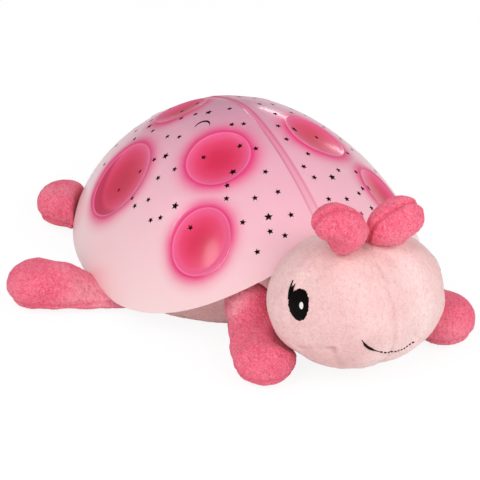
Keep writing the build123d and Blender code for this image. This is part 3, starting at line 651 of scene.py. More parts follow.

# painted shade: the largest spots carry a deeper crimson crescent inside their outer rear rim,
# where the dish's far wall is in shade
painted_crescent_shade = None
for x, y, radius, squeeze in all_spots:
    if radius < max(spot[2] for spot in SPOTS):
        continue
    inwards, forwards = CRESCENT_SHADE_SHIFT
    clear = point_on_dome(x - copysign(inwards, x), y + forwards)
    gap = pearl.vector_maths("DISTANCE", pearl.place(), clear * MM)["Value"]
    gap = pearl.maths("SUBTRACT", gap, radius * MM)
    painted_crescent_shade = gap if painted_crescent_shade is None else pearl.maths("MINIMUM", painted_crescent_shade, gap)
painted_crescent_shade = pearl.ramp(pearl.times(painted_crescent_shade, 1 / CRESCENT_SHADE_REACH),
                  [(0.02, grey(0)), (0.3, grey(0.75))])
in_dish = pearl.maths("LESS_THAN", distance, -0.0008)
in_rear = pearl.maths("GREATER_THAN", axis_value(pearl, "Y"), SHELL_CENTRE_Y * MM)
far_out = pearl.maths("GREATER_THAN", pearl.maths("ABSOLUTE", axis_value(pearl, "X")),
                      CRESCENT_SHADE_MIN_X)
painted_crescent_shade = pearl.times(pearl.times(painted_crescent_shade, in_dish), pearl.times(in_rear, far_out))
# painted shade of the crescent, deep crimson
skin = pearl.mix(painted_crescent_shade, skin, srgb(190, 4, 60))


def rim_line(*ends):
    """Half cover between the inner two of four shares of the reach about the rim."""
    share = pearl.maths("MULTIPLY_ADD", distance, 1 / RIM_LINE_REACH, 0.5)
    return pearl.ramp(share, [(end, grey(v)) for end, v in zip(ends, (0, 0.5, 0.5, 0))], "EASE")


# painted highlight: a pale line along each spot's rim
skin = pearl.mix(rim_line(0.28, 0.44, 0.52, 0.62), skin, srgb(246, 128, 168))
# painted shade: a darker crimson line just outside each spot's rim
skin = pearl.mix(rim_line(0.56, 0.66, 0.72, 0.90), skin, srgb(214, 42, 104))

# the band between the wing cases narrows as it climbs; its pink fill and the darker lines on its
# pressed edges are painted shade of the sunken groove, stronger towards the top
across = pearl.maths("ABSOLUTE", axis_value(pearl, "X"))
climb = pearl.node("MapRange", clamp=True)
pearl.link(axis_value(pearl, "Z"), climb.inputs["Value"])
feed(climb, From_Min=BAND_FOOT * MM, From_Max=(RIM_HEIGHT + DOME_HEIGHT) * MM)
climb = climb.outputs["Result"]
band_half = pearl.maths("MULTIPLY_ADD", climb, -BAND_WIDTH / 2 * BAND_TAPER * MM,
                        BAND_WIDTH / 2 * MM)
line_gap = pearl.maths("ABSOLUTE", pearl.maths("SUBTRACT", across, band_half))
band_edge_shade = pearl.ramp(pearl.times(line_gap, 1 / BAND_EDGE_SHADE_REACH),
                       [(0.1, grey(1)), (0.5, grey(0))])
in_band = pearl.maths("LESS_THAN", across, band_half)
edge_shade_share = pearl.ramp(climb, [(0.1, grey(0.12)), (0.55, grey(0.3)), (0.95, grey(0.6))])
band_shade_share = pearl.ramp(climb, [(0.3, grey(0)), (0.6, grey(0.14)), (0.95, grey(0.4))])
# painted shade inside the sunken band
skin = pearl.mix(pearl.times(in_band, band_shade_share), skin, srgb(226, 84, 132))
# painted shade along the band's pressed edges
skin = pearl.mix(pearl.times(band_edge_shade, edge_shade_share), skin, srgb(214, 70, 122))
pearl.colour(skin)
pearl.set(Roughness=0.34, IOR=1.46, Coat_Weight=0.42, Coat_Roughness=0.15)
pearl.set(Subsurface_Weight=0.12, Subsurface_Scale=0.003, Subsurface_Radius=(1.0, 0.45, 0.5))
pearl.bump(pearl.noise(90, 3), 0.04, 0.0004)

# painted shade: dark maroon for the star holes' walls and the inner face seen through them, where
# the inside of the shell is in shade
well_shade = Mat("star_well_painted_shade")
well_shade.mottled(300, 3, srgb(58, 8, 26), srgb(84, 14, 38))
well_shade.set(Roughness=0.6)
shell.data.materials.clear()
shell.data.materials.append(pearl.m)
shell.data.materials.append(well_shade.m)

STEEP_FACING = 0.45  # a hole's wall faces the dome's normal less than this
INNER_FACING = -0.3  # and the inner face faces it less than this
INNER_DEPTH = 1.0
WELL_REACH = 1.3  # share of a hole's radius


def paint_well_shade():
    """Painted shade: the holes' walls and the part of the inner face that shows through the stars
    get the dark well colour.
    """
    faces = shell.data.polygons
    px, py, pz = rows(faces, "center").T / MM
    facing = (rows(faces, "normal") * dome_normal(px, py)).sum(1)
    near = np.zeros(len(faces), bool)
    for x, y, radius in star_places() + [(*CRESCENT_PLACE, CRESCENT_RADIUS)]:
        near |= np.hypot(px - x, py - y) < radius * WELL_REACH
    wall = near & (np.abs(facing) < STEEP_FACING)
    deep_inside = (dome_z(px, py) - pz > INNER_DEPTH) & (pz > LOWEST_STAR_HEIGHT)
    dark = wall | (facing < INNER_FACING) & deep_inside
    faces.foreach_set("material_index", dark.astype(np.int32))
    shell.data.update()


paint_well_shade()

# ---- plush material
PILE_LEAN = (0.0, 0.3, radians(35))
PILE_STRETCH = (1.0, 0.42, 0.8)


def plush(name, dark, mid, light, sheen, pile, grain):
    """Short combed pile, patchy and grained, darker where the seam attribute is set."""
    m = Mat(name)
    shade, tint = [tuple((1 - k) * u + k * v for u, v in zip(mid, end))
                   for end, k in ((dark, 0.35), (light, 0.6))]
    tone = m.ramp(m.noise(26, 2, 0.5), [(0.3, shade), (0.5, mid), (0.7, tint)])
    combed = m.node("Mapping")
    m.link(m.place(), combed.inputs["Vector"])
    feed(combed, Rotation=PILE_LEAN, Scale=PILE_STRETCH)
    lying = m.noise(620, 3, 0.7, vector=combed.outputs["Vector"], distortion=1.0)
    parted = m.ramp(lying, [(0.34, grey(1)), (0.54, grey(0))])
    tone = m.mix(m.times(parted, grain), tone, dark)
    tuft = m.noise(1200, 2, 0.8)
    tip = m.ramp(tuft, [(0.45, grey(0)), (0.72, grey(1))])
    tone = m.mix(m.times(tip, grain), tone, light)
    seam = m.node("Attribute", attribute_name="seam").outputs["Fac"]
    tone = m.mix(m.times(seam, 0.45), tone, dark)
    m.colour(tone)
    m.set(Roughness=0.95, IOR=1.25, Sheen_Weight=0.42, Sheen_Roughness=0.3, Sheen_Tint=(*sheen, 1))
    m.bump(lying, 0.8, pile)
    m.bump(tuft, 0.7, pile * 0.5)
    return m.m


pink_plush = plush("pink_plush_pile", srgb(214, 40, 84), srgb(252, 104, 134), srgb(255, 182, 192),
                   srgb(255, 190, 200), 0.0012, 0.6)
pale_plush = plush("pale_plush_pile", srgb(216, 152, 156), srgb(240, 197, 194), srgb(252, 231, 226),
                   srgb(255, 246, 242), 0.0006, 0.42)


# ---- plush pieces, grown from their solids
FUZZ = [(14, 0.6), (5, 0.3), (2.2, 0.3), (1.2, 0.45)]  # size in mm and share of each layer
CLOTH = dict(quality=6, mass=0.15, tension_stiffness=10, compression_stiffness=10,
             shear_stiffness=5, bending_stiffness=0.2, use_pressure=True,
             uniform_pressure_force=4.0, vertex_group_mass="pinned")
CLOTH_FRAMES = 18
LEAST_PIN = 0.01
# a groove's lips, and the darker tone in it, as shares of its width
LIP_PLACE = 2.6
LIP_WIDTH = 1.3
TONE_WIDTH = 0.75
FULL_TONE_DEPTH = 0.6  # a groove of this depth gets the seam's full tone
PUCKER = 0.35
PUCKER_SIZE = 2.6
STUFFED_FUZZ = 0.3
FLAP_FUZZ = 0.12
SEAM_HOLD = 0.9  # how firmly a seam holds the fabric against the stuffing
FAR_FROM_SEAM = 99.0


def points_of(mesh):
    return rows(mesh.vertices, "co") / MM


def normals_of(mesh):
    return rows(mesh.vertices, "normal")


def sideways(mesh):
    """How far each vertex faces to the side, 0 to 1."""
    return 1 - np.abs(normals_of(mesh)[:, 2])


def set_points(mesh, points):
    mesh.vertices.foreach_set("co", (points * MM).ravel())
    mesh.update()


def sculpt(obj, move):
    """Put each vertex where move(points in mm, normals) says."""
    set_points(obj.data, move(points_of(obj.data), normals_of(obj.data)))


def modified(obj, *steps):
    """Apply modifiers, each given as (kind, settings)."""
    for kind, settings in steps:
        assign(obj.modifiers.new(kind.lower(), kind), settings)
    return apply_modifiers(obj)


def noise3(points, size, seed):
    """Smooth noise from -1 to 1 at each point in mm."""
    off = Vector((seed * 17.3, seed * 5.1, seed * 9.7))
    return np.array([noise.noise(Vector(p) / size + off) for p in points])


def fuzz(co, no, amount=0.35):
    """Uneven face of stuffed fabric, from large lumps to the pile's tufts."""
    n = sum(noise3(co, size, seed) * share for seed, (size, share) in enumerate(FUZZ, 1))
    return co + no * (n * amount)[:, None]


def stuff(obj, pinned, slack=0.05, cap=1.6):
    """Cloth under the stuffing's pressure for a few frames; pinned is 0 to 1 at each vertex."""
    rest = points_of(obj.data)
    group = obj.vertex_groups.new(name="pinned")
    for i, w in enumerate(pinned):
        if w > LEAST_PIN:
            group.add([i], float(w), "REPLACE")
    mod = obj.modifiers.new("cloth", "CLOTH")
    assign(mod.settings, CLOTH)
    mod.settings.effector_weights.gravity = 0
    mod.settings.shrink_min = -slack
    mod.collision_settings.use_collision = False
    mod.point_cache.frame_start = 1
    mod.point_cache.frame_end = CLOTH_FRAMES
    scene = bpy.context.scene
    for f in range(1, CLOTH_FRAMES + 1):
        scene.frame_set(f)
    done = obj.evaluated_get(bpy.context.evaluated_depsgraph_get())
    moved = points_of(done.to_mesh())
    done.to_mesh_clear()
    obj.modifiers.clear()
    obj.vertex_groups.clear()
    scene.frame_set(1)
    shift = moved - rest
    far = np.linalg.norm(shift, axis=1)
    shift *= np.minimum(1, cap / np.maximum(far, 1e-9))[:, None]
    set_points(obj.data, rest + shift)


def seam_at(obj, distance, depth, width, lip):
    """Press a sewn groove, with soft lips, where distance (mm, one value a vertex) is near 0."""
    co = points_of(obj.data)
    no = normals_of(obj.data)
    groove = bell(distance, width)
    lips = bell(np.abs(distance) - LIP_PLACE * width, LIP_WIDTH * width)
    pucker = 1 + PUCKER * noise3(co, PUCKER_SIZE, 7)
    set_points(obj.data, co + no * (lips * lip * pucker - groove * depth * pucker)[:, None])
    layer = obj.data.attributes.get("seam") or obj.data.attributes.new("seam", "FLOAT", "POINT")
    values = np.zeros(len(co))
    layer.data.foreach_get("value", values)
    tight = bell(distance, width * TONE_WIDTH)
    tight = tight * unit(0.75 + 0.5 * noise3(co, 1.8, 9))
    layer.data.foreach_set("value", np.maximum(values, tight * min(1, depth / FULL_TONE_DEPTH)))
    obj.data.update()


def line_distance(co, line):
    """Distance in mm from each point to a polyline."""
    best = np.full(len(co), np.inf)
    for a, b in zip(line[:-1], line[1:]):
        a = np.array(a, float)
        b = np.array(b, float)
        t = unit(((co - a) @ (b - a)) / ((b - a) @ (b - a)))
        best = np.minimum(best, np.linalg.norm(co - a - t[:, None] * (b - a), axis=1))
    return best


def soft_copy(node, name, voxel, steps):
    """Fabric piece on a CAD node's own shape: remeshed and smoothed, ready to stuff."""
    obj = linked(name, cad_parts[node].data.copy())
    obj.data.materials.clear()
    return modified(obj, ("REMESH", dict(mode="VOXEL", voxel_size=voxel, use_smooth_shade=True)),
                    ("SMOOTH", dict(iterations=steps, factor=0.5)))


def refine(obj, levels):
    modified(obj, ("SUBSURF", dict(levels=levels, render_levels=levels)))
    shade_smooth(obj.data)


def dress(obj, node, body, material):
    obj.data.materials.append(material)
    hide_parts(node)
    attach(obj, body)


# ---- legs
LEG_VOXEL = 0.0034
LEG_MIDDLE_HEIGHT = 9.0
LEG_SEAM_HEIGHT = 6.0
LEG_GROOVE = (0.45, 1.0, 0.25)  # depth, width and height of the lips
LEG_ROOT_REACH = 16.0
LEG_SEAM_WANDER = 1.2
LEG_WIDENING = 1.5  # a leg has its full width beyond its length's 1 / 1.5
LEG_THICKENING = (0.15, 0.8)  # shares of the length: where it starts, and over how much
FLOOR_GAP = 0.05
LEGS = {"front_right_leg": (-38.5, -61.0), "front_left_leg": (38.0, -61.0),
        "middle_right_leg": (-80.0, -8.0), "middle_left_leg": (74.0, 30.0),
        "rear_right_leg": (-60.0, 78.0), "rear_left_leg": (54.0, 92.0)}
# how the sewn paddles differ from their solids: share of width and of thickness left at the root,
# shift of the root and shift of the paw (mm)
LEG_FORMS = {"middle_right_leg": (0.7, 0.33, (5.0, 7.0, 0.0), (-1.5, 0.5, 0.0)),
             "middle_left_leg": (0.7, 0.33, (-5.0, 0.0, 0.0), (0.0, 0.0, 0.0)),
             "front_right_leg": (0.92, 1.0, (0.0, 0.0, 0.0), (-2.6, 0.0, 0.0))}
LEG_TIPS = {"middle_right_leg": (-121.0, 25.0), "middle_left_leg": (86.0, 64.0),
            "front_right_leg": (-45.5, -94.0)}


def reshaped(co, leg):
    """Taper a leg towards its root and shift its two ends."""
    narrow, thin, root_shift, tip_shift = LEG_FORMS[leg]
    root = np.array((*LEGS[leg], LEG_MIDDLE_HEIGHT))
    tip = np.array((*LEG_TIPS[leg], LEG_MIDDLE_HEIGHT))
    axis = tip - root
    along = ((co - root) @ axis) / (axis @ axis)
    t = unit(along)
    spine = root + along[:, None] * axis
    slim = narrow + (1 - narrow) * unit(t * LEG_WIDENING)
    out = spine + (co - spine) * slim[:, None]
    thick = eased(unit((along - LEG_THICKENING[0]) / LEG_THICKENING[1]))
    out[:, 2] = co[:, 2] * (thin + (1 - thin) * thick)
    return out + (1 - t)[:, None] * np.array(root_shift) + t[:, None] * np.array(tip_shift)


def settled(co, no):
    """Uneven fabric, flattened where it would sink into the floor."""
    co = fuzz(co, no)
    return np.column_stack((co[:, :2], np.maximum(co[:, 2], FLOOR_GAP)))


for leg, root in LEGS.items():
    obj = soft_copy(leg, leg + "_plush", LEG_VOXEL, 4)
    if leg in LEG_FORMS:
        sculpt(obj, lambda co, no: reshaped(co, leg))
    co = points_of(obj.data)
    at_seam = bell(co[:, 2] - LEG_SEAM_HEIGHT, 2.0) * (sideways(obj.data) > 0.4)
    from_root = np.hypot(co[:, 0] - root[0], co[:, 1] - root[1])
    at_root = unit(1.4 - from_root / LEG_ROOT_REACH)
    on_floor = unit(1 - co[:, 2] / 1.5)
    stuff(obj, unit(at_seam * SEAM_HOLD + at_root + on_floor))
    refine(obj, 2)
    co = points_of(obj.data)
    wander = LEG_SEAM_WANDER * noise3(co, 18, 5)
    gap = np.where(sideways(obj.data) > 0.25, co[:, 2] - LEG_SEAM_HEIGHT - wander, FAR_FROM_SEAM)
    seam_at(obj, gap, *LEG_GROOVE)
    sculpt(obj, settled)
    dress(obj, leg, "toy", pink_plush)

# ---- antennae
ANTENNA_VOXEL = 0.0024
ANTENNA_CENTRE = (16.5, -109.0, 80.3)
ANTENNA_MIDDLE_X = -1.5
ANTENNA_LIFT = radians(24)
ANTENNA_SEAM_LEAN = radians(18)
ANTENNA_GROOVE = (1.1, 0.9, 0.5)
# heights above which a club rolls with the pair, is free to swell and shows its seam
ANTENNA_ROLL_FOOT = 67.0
ANTENNA_FREE_FOOT = 68.0
ANTENNA_SEAM_FOOT = 70.0
# the pair is sewn on with a roll, so its right club stands higher
ANTENNA_ROLL = radians(5.5)
ANTENNA_PIVOT = np.array((ANTENNA_MIDDLE_X, -109.0, 72.0))
ANTENNA_SHIFT = {-1: (0.7, 0.0, 0.4), 1: (-0.9, 0.0, -1.2)}
ANTENNA_UNDERCUT = 0.34
ANTENNA_FULLNESS = 1.09  # a club's thickness against its solid's
ANTENNA_WAIST = 0.1  # how much of that it loses at its sewn end
ANTENNA_LENGTH = 16.0
ANTENNA_STRETCH = 0.04


def waisted(co, centre, long_axis, upward):
    """Draw a club's inner end and outer underside in, so that it opens outwards like a petal."""
    along = (co - centre) @ long_axis
    spine = centre + along[:, None] * long_axis
    slim = ANTENNA_FULLNESS - ANTENNA_WAIST * unit(0.5 - along / ANTENNA_LENGTH) ** 2
    above = (co - spine) @ upward
    undercut = ANTENNA_UNDERCUT * eased(unit((along + 4) / 7))
    co = co - (np.minimum(above, 0) * undercut)[:, None] * upward
    return spine + along[:, None] * ANTENNA_STRETCH * long_axis + (co - spine) * slim[:, None]


def rolled(co, side):
    """Roll the upper part of the antenna pair about the Y axis; the roots stay."""
    c, sn = cos(ANTENNA_ROLL), sin(ANTENNA_ROLL)
    rel = co - ANTENNA_PIVOT
    x, y, z = rel.T
    turned = np.column_stack((c * x + sn * z, y, c * z - sn * x))
    free = unit((co[:, 2] - ANTENNA_ROLL_FOOT) / 6)[:, None]
    return ANTENNA_PIVOT + rel * (1 - free) + (turned + np.array(ANTENNA_SHIFT[side])) * free


for antenna, side in (("left_antenna", 1), ("right_antenna", -1)):
    obj = soft_copy(antenna, antenna + "_plush", ANTENNA_VOXEL, 4)
    centre = np.array((ANTENNA_MIDDLE_X + side * ANTENNA_CENTRE[0], *ANTENNA_CENTRE[1:]))
    long_axis = np.array((side * cos(ANTENNA_LIFT), 0, sin(ANTENNA_LIFT)))
    upward = np.array((-side * sin(ANTENNA_LIFT), 0, cos(ANTENNA_LIFT)))
    lean = sin(ANTENNA_SEAM_LEAN) * np.array((0, -1, 0))
    seam_normal = np.cross(long_axis, cos(ANTENNA_SEAM_LEAN) * upward + lean)
    co = points_of(obj.data)
    gap = (co - centre) @ seam_normal
    at_root = unit(1.5 - (co[:, 2] - ANTENNA_FREE_FOOT) / 5)
    stuff(obj, unit(bell(gap, 1.6) + at_root), cap=1.2)
    refine(obj, 2)
    co = points_of(obj.data)
    gap = (co - centre) @ seam_normal
    seam_at(obj, np.where(co[:, 2] > ANTENNA_SEAM_FOOT, gap, FAR_FROM_SEAM), *ANTENNA_GROOVE)
    sculpt(obj, lambda co, no: rolled(
        waisted(fuzz(co, no, STUFFED_FUZZ), centre, long_axis, upward), side))
    dress(obj, antenna, "toy", pink_plush)

# ---- head
HEAD_VOXEL = 0.0040
FACE_SEAM_X = -2.3
# Y in front of which the face's seam is held and shows
FACE_HELD_Y = -104
FACE_SEAM_Y = -108
# height at which that seam is faintest, and the depth below it over which it comes back
FACE_SEAM_TOP = 62
FACE_SEAM_FADE = 16
DART = [(-30.5, -129.5, 31.0), (-27.0, -128.0, 25.0), (-24.0, -126.0, 19.5), (-21.0, -123.0, 13.0)]
CHEEK = [(-39.9, -114.4, 25.5), (-35.5, -122.5, 29.5), (-30.5, -129.5, 31.0)]
DART_GROOVE = (0.9, 1.1, 0.4)
CHEEK_GROOVE = (0.45, 1.0, 0.3)
FACE_GROOVE = (0.55, 0.9, 0.25)


def mirrored(line):
    return [(2 * FACE_SEAM_X - x, y, z) for x, y, z in line]


head_seams = [(DART, DART_GROOVE), (mirrored(DART), DART_GROOVE),
              (CHEEK, CHEEK_GROOVE), (mirrored(CHEEK), CHEEK_GROOVE)]
head = soft_copy("head", "head_plush", HEAD_VOXEL, 3)
co = points_of(head.data)
sewn = [line_distance(co, line) for line, _ in head_seams]
sewn.append(np.where(co[:, 1] < FACE_HELD_Y, np.abs(co[:, 0] - FACE_SEAM_X), FAR_FROM_SEAM))
at_seam = bell(np.min(sewn, axis=0), 2.5)
back = unit((co[:, 1] + 100) / 10)
on_floor = unit(1 - co[:, 2] / 8)
stuff(head, unit(at_seam * SEAM_HOLD + back + on_floor), slack=0.03, cap=1.4)
refine(head, 2)
co = points_of(head.data)
for line, groove in head_seams:
    seam_at(head, line_distance(co, line), *groove)
# the seam down the face fades towards the crown
wander = 0.8 * noise3(co, 9, 11)
gap = np.where(co[:, 1] < FACE_SEAM_Y, np.abs(co[:, 0] - FACE_SEAM_X + wander), FAR_FROM_SEAM)
seam_at(head, gap / np.clip((FACE_SEAM_TOP - co[:, 2]) / FACE_SEAM_FADE, 0.3, 1), *FACE_GROOVE)
sculpt(head, lambda co, no: fuzz(co, no, STUFFED_FUZZ))
dress(head, "head", "toy", pale_plush)

# ---- belly and flap
BELLY_VOXEL = 0.0018
FLAP_VOXEL = 0.0008
HEM = 3.0
HEM_GROOVE = (0.3, 0.5, 0.1)

body = soft_copy("plush_body", "belly_plush", BELLY_VOXEL, 3)
refine(body, 1)
body.data.attributes.new("seam", "FLOAT", "POINT")
sculpt(body, lambda co, no: fuzz(co, no, STUFFED_FUZZ))
dress(body, "plush_body", "toy", pale_plush)

flap = soft_copy("belly_flap", "belly_flap_plush", FLAP_VOXEL, 1)
co = points_of(flap.data)
centre = (co.min(0) + co.max(0)) / 2
half = (co.max(0) - co.min(0)) / 2
inset = (half - np.abs(co - centre))[:, :2].min(1)
seam_at(flap, np.where(sideways(flap.data) < 0.3, inset - HEM, FAR_FROM_SEAM), *HEM_GROOVE)
sculpt(flap, lambda co, no: fuzz(co, no, FLAP_FUZZ))
shade_smooth(flap.data)
dress(flap, "belly_flap", "belly_flap", pale_plush)


# ---- embroidery on the head
STRAND_PITCH = 0.42
PATCH_RINGS = 9
PATCH_SPOKES = 72
PATCH_LIFT = 0.12
PATCH_EDGE_TUCK = 0.25
THREAD_SIDES = 9
THREAD_TUCK = 0.12

head_tree = BVHTree.FromPolygons([v.co for v in head.data.vertices],
                                 [p.vertices for p in head.data.polygons])


def on_head(point, direction):
    """Where a ray from outside meets the head, and the face's normal there; mm in and out."""
    d = Vector(direction).normalized()
    hit, normal, _, _ = head_tree.ray_cast(Vector(point) * MM - d * 0.1, d)
    return np.array(hit) / MM, np.array(normal)


def thread_material(name, dark, light):
    """Satin stitch: fine strands side by side along the stitch, from the strand attribute in mm."""
    m = Mat(name)
    strand = m.node("Attribute", attribute_name="strand").outputs["Fac"]
    wave = m.maths("SINE", m.times(strand, 2 * pi / STRAND_PITCH))
    shade = m.maths("MULTIPLY_ADD", wave, 0.3, m.noise(500, 3))
    m.colour(m.ramp(shade, [(0.3, dark), (0.8, light)]))
    m.set(Roughness=0.6, Specular_IOR_Level=0.12)
    m.bump(wave, 0.6, 0.00012)
    return m.m


black_thread = thread_material("black_thread", srgb(3, 2, 2), srgb(18, 9, 10))
white_thread = thread_material("white_thread", srgb(232, 230, 228), srgb(255, 255, 252))


def stitched(name, verts, faces, strands, material):
    obj = mesh_object(name, np.array(verts) * MM, faces)
    layer = obj.data.attributes.new("strand", "FLOAT", "POINT")
    layer.data.foreach_set("value", np.array(strands, float))
    obj.data.materials.append(material)
    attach(obj, "toy")


def satin_patch(name, centre, axes, half, lift, material, seed, ragged=0.05):
    """Oval of satin stitches laid on the head, crowned by lift mm."""
    normal, across, up = axes
    rng = random.Random(seed)
    verts, faces, strands = [], [], []
    edge = [1 + ragged * rng.uniform(-1, 0.6) for _ in range(PATCH_SPOKES)]
    for ring in range(PATCH_RINGS + 1):
        t = ring / PATCH_RINGS
        for k in range(PATCH_SPOKES if ring else 1):
            a = 2 * pi * k / PATCH_SPOKES
            r = t * (1 + (edge[k] - 1) * t**3)
            u, v = half[0] * r * cos(a), half[1] * r * sin(a)
            place, _ = on_head(centre + across * u + up * v, -normal)
            rise = lift * (1 - t**4) ** 0.5 - PATCH_EDGE_TUCK * (t == 1)
            verts.append(place + normal * (PATCH_LIFT + rise))
            strands.append(u + 0.15 * sin(v))
    for k in range(PATCH_SPOKES):
        faces.append((0, 1 + k, 1 + (k + 1) % PATCH_SPOKES))
    for ring in range(1, PATCH_RINGS):
        inner = 1 + (ring - 1) * PATCH_SPOKES
        outer = inner + PATCH_SPOKES
        for k in range(PATCH_SPOKES):
            j = (k + 1) % PATCH_SPOKES
            faces.append((inner + k, outer + k, outer + j, inner + j))
    stitched(name, verts, faces, strands, material)


def thread(name, points, normals, widths, material, lift=0.35):
    """Raised line of thread through points on the head; widths are half-widths in mm."""
    verts, faces, strands = [], [], []
    count = len(points)
    for i in range(count):
        along = points[min(i + 1, count - 1)] - points[max(i - 1, 0)]
        along /= np.linalg.norm(along)
        across = np.cross(normals[i], along)
        across /= np.linalg.norm(across)
        height = lift * min(1, widths[i] * 2)
        for k in range(THREAD_SIDES):
            a = pi * k / (THREAD_SIDES - 1)
            verts.append(points[i] + across * widths[i] * cos(a)
                         + normals[i] * (height * sin(a) - THREAD_TUCK))
            strands.append(0.7 * i * STRAND_PITCH + widths[i] * cos(a))
    for i in range(count - 1):
        here, there = i * THREAD_SIDES, (i + 1) * THREAD_SIDES
        for k in range(THREAD_SIDES - 1):
            faces.append((here + k, here + k + 1, there + k + 1, there + k))
    stitched(name, verts, faces, strands, material)


def curve_through(points, count):
    """Smooth curve through control points, as count samples."""
    pts = np.array(points, float)
    pts = np.vstack((2 * pts[0] - pts[1], pts, 2 * pts[-1] - pts[-2]))
    out = []
    for s in np.linspace(0, len(points) - 1 - 1e-6, count):
        i = int(s)
        t = s - i
        a, b, c, d = pts[i:i + 4]
        out.append(0.5 * (2 * b + (c - a) * t + (2 * a - 5 * b + 4 * c - d) * t * t
                          + (3 * b - a - 3 * c + d) * t**3))
    return np.array(out)


EYE_CENTRE = np.array((-40.1, -112.6, 49.1))
EYE_NORMAL = np.array((-0.797, -0.352, 0.490))
EYE_UP = np.array((0.2255, 0.5799, 0.7829))
EYE_HALF = (6.1, 7.9)
# the left eye is sewn a little further round the head and lower than the right one
LEFT_EYE_TURN = radians(14)
LEFT_EYE_DROP = radians(9)
GLINT = (2.1, -0.9)
GLINT_HALF = (1.35, 2.1)
LASHES = [[(-5.0, 3.0), (-4.9, 7.6), (-3.6, 12.4)], [(-3.4, 6.0), (-3.2, 8.2), (-2.1, 10.4)],
          [(-4.4, 5.0), (-4.2, 7.6), (-3.2, 9.6)]]
LASH_POINTS = 12
LASH_WIDTHS = np.linspace(0.8, 0.28, LASH_POINTS)
LASH_LIFT = 0.3
for side, eye_name in ((1, "right_eye"), (-1, "left_eye")):
    flip = np.array((side, 1, 1))
    turn = np.eye(3)
    if side < 0:
        turn = Matrix.Rotation(LEFT_EYE_TURN, 3, "Z") @ Matrix.Rotation(LEFT_EYE_DROP, 3, "Y")
        turn = np.array(turn)
    centre = HEAD_CENTRE + turn @ ((EYE_CENTRE - HEAD_CENTRE) * flip)
    normal = turn @ (EYE_NORMAL * flip)
    up = turn @ (EYE_UP * flip)
    across = turn @ (np.cross(EYE_UP, EYE_NORMAL) * flip)
    axes = (normal, across, up)
    satin_patch(eye_name, centre, axes, EYE_HALF, 0.55, black_thread, 3)
    spot = centre + across * GLINT[0] + up * GLINT[1]
    satin_patch(eye_name + "_glint", spot, axes, GLINT_HALF, 0.75, white_thread, 5, 0.02)
    for number, lash in enumerate(LASHES, 1):
        line = curve_through(lash, LASH_POINTS)
        hits = [on_head(centre + across * u + up * v, -normal) for u, v in line]
        thread(f"{eye_name}_lash_{number}", [hit + LASH_LIFT * normal for hit, _ in hits],
               [normal] * LASH_POINTS, LASH_WIDTHS * (1.1 if number == 1 else 0.8), black_thread)

SMILE = [(-19.5, 36.9), (-17.0, 33.0), (-13.5, 29.6), (-9.2, 27.1), (-3.5, 25.2), (2.0, 24.4),
         (7.0, 24.6), (12.5, 25.8)]
SMILE_POINTS = 120
SMILE_LINE_END = -8.6  # X at which the thick line goes over into running stitches
SMILE_HALF_WIDTH = 0.75
STITCH_HALF_WIDTHS = [0.25, 0.46, 0.5, 0.46, 0.25]
STITCH_PITCH = len(STITCH_HALF_WIDTHS) + 1
smile = curve_through(SMILE, SMILE_POINTS)
smile_hits = [on_head((x, -140, z), (0, 1, 0)) for x, z in smile]


def smile_thread(name, hits, widths, lift):
    points, normals = zip(*hits)
    thread(name, points, normals, widths, black_thread, lift)


drawn = int((smile[:, 0] < SMILE_LINE_END).sum())
taper = np.linspace(0, 1, drawn)
swell = np.clip(3.2 * taper, 0.35, 1) * np.clip(3.0 * (1 - taper), 0.35, 1)
smile_thread("smile", smile_hits[:drawn], SMILE_HALF_WIDTH * swell, 0.7)
for number in range((SMILE_POINTS - drawn) // STITCH_PITCH):
    first = drawn + number * STITCH_PITCH
    stitch = smile_hits[first:first + len(STITCH_HALF_WIDTHS)]
    smile_thread(f"smile_stitch_{number + 1}", stitch, STITCH_HALF_WIDTHS, 0.55)


# ---- materials of the CAD nodes
def plastic(name, colour, rough=0.4, grain=600, strength=0.15):
    m = Mat(name)
    m.mottled(50, 4, shaded(colour, 0.94), shaded(colour, 1.06))
    m.link(m.maths("MULTIPLY_ADD", m.noise(180, 3), 0.2, rough - 0.1), m.b.inputs["Roughness"])
    m.bump(m.noise(grain, 3), strength, 0.0002)
    return m.m


def metal(name, colour, rough=0.3):
    m = Mat(name)
    m.set(Metallic=1.0)
    m.mottled(300, 3, shaded(colour, 0.85), colour)
    m.link(m.maths("MULTIPLY_ADD", m.noise(700, 3), 0.25, rough - 0.1), m.b.inputs["Roughness"])
    m.bump(m.noise(900, 2), 0.1, 0.0001)
    return m.m


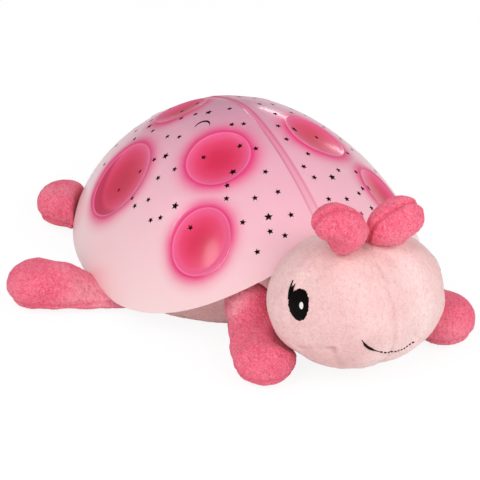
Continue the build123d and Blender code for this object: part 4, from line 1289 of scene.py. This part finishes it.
finishes = {
    "white": plastic("white_moulded_plastic", srgb(232, 228, 224), 0.45),
    "steel": metal("zinc_steel", (0.62, 0.63, 0.65)),
    "contact": metal("nickel_sheet", (0.75, 0.73, 0.68), 0.22),
    "cell": plastic("cell_wrap_film", srgb(150, 154, 160), 0.25, 200, 0.05),
    "board": plastic("board_solder_mask", srgb(24, 92, 48), 0.3, 1200, 0.1),
    "panel": plastic("panel_satin_plastic", srgb(226, 96, 140), 0.35),
    "black": plastic("switch_black_plastic", srgb(26, 26, 28), 0.5),
    "button": plastic("button_soft_rubber", srgb(246, 214, 222), 0.6, 900, 0.2),
    "tape": plastic("hook_and_loop_tape", srgb(236, 190, 194), 0.95, 1500, 0.8),
}
lamp_colours = {"red_lamp": srgb(240, 120, 110), "green_lamp": srgb(150, 225, 150),
                "blue_lamp": srgb(130, 160, 240)}
for lamp_name, lamp_colour in lamp_colours.items():
    m = Mat(lamp_name + "_epoxy")
    m.mottled(200, 2, shaded(lamp_colour, 0.9), lamp_colour)
    m.set(Roughness=0.12, Transmission_Weight=0.6, IOR=1.5)
    finishes[lamp_name] = m.m

finished_nodes = {
    "white": "base_housing lamp_pillar battery_door",
    "steel": "shell_screws battery_door_screws lamp_board_screws control_board_screws",
    "contact": "positive_contacts negative_contacts",
    "cell": "battery_front battery_middle battery_rear",
    "board": "lamp_board control_board",
    "black": "control_chip button_switches",
    "panel": "control_panel",
    "button": "left_colour_button middle_colour_button right_colour_button",
    "tape": "belly_loop_tape flap_hook_tape",
    **{lamp_name: lamp_name for lamp_name in lamp_colours},
}
for finish_name, nodes in finished_nodes.items():
    for node in nodes.split():
        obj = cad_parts[node]
        if not obj.material_slots:
            obj.data.materials.append(None)
        for s in obj.material_slots:
            s.material = finishes[finish_name]

# ---- floor
FLOOR_HALF = 4.0  # m
FLOOR_DROP = 0.0005
FLOOR_GLOW = 1.04
FLOOR_GLOW_SHARE = 0.85

corners = [(x * FLOOR_HALF, y * FLOOR_HALF, 0) for x, y in ((-1, -1), (1, -1), (1, 1), (-1, 1))]
floor = mesh_object("floor", corners, [(0, 1, 2, 3)], False)
floor.location.z = -FLOOR_DROP
floor_mat = Mat("pale_floor")
floor_mat.mottled(3, 2, grey(0.9), grey(0.93))
floor_mat.set(Roughness=0.9)
glow = floor_mat.node("Emission")
feed(glow, Strength=FLOOR_GLOW)
camera_ray = floor_mat.node("LightPath").outputs["Is Camera Ray"]
blend_floor = floor_mat.node("MixShader")
floor_mat.link(floor_mat.times(camera_ray, FLOOR_GLOW_SHARE), blend_floor.inputs[0])
floor_mat.link(floor_mat.b.outputs[0], blend_floor.inputs[1])
floor_mat.link(glow.outputs[0], blend_floor.inputs[2])
floor_mat.link(blend_floor.outputs[0], floor_mat.out.inputs["Surface"])
floor.data.materials.append(floor_mat.m)
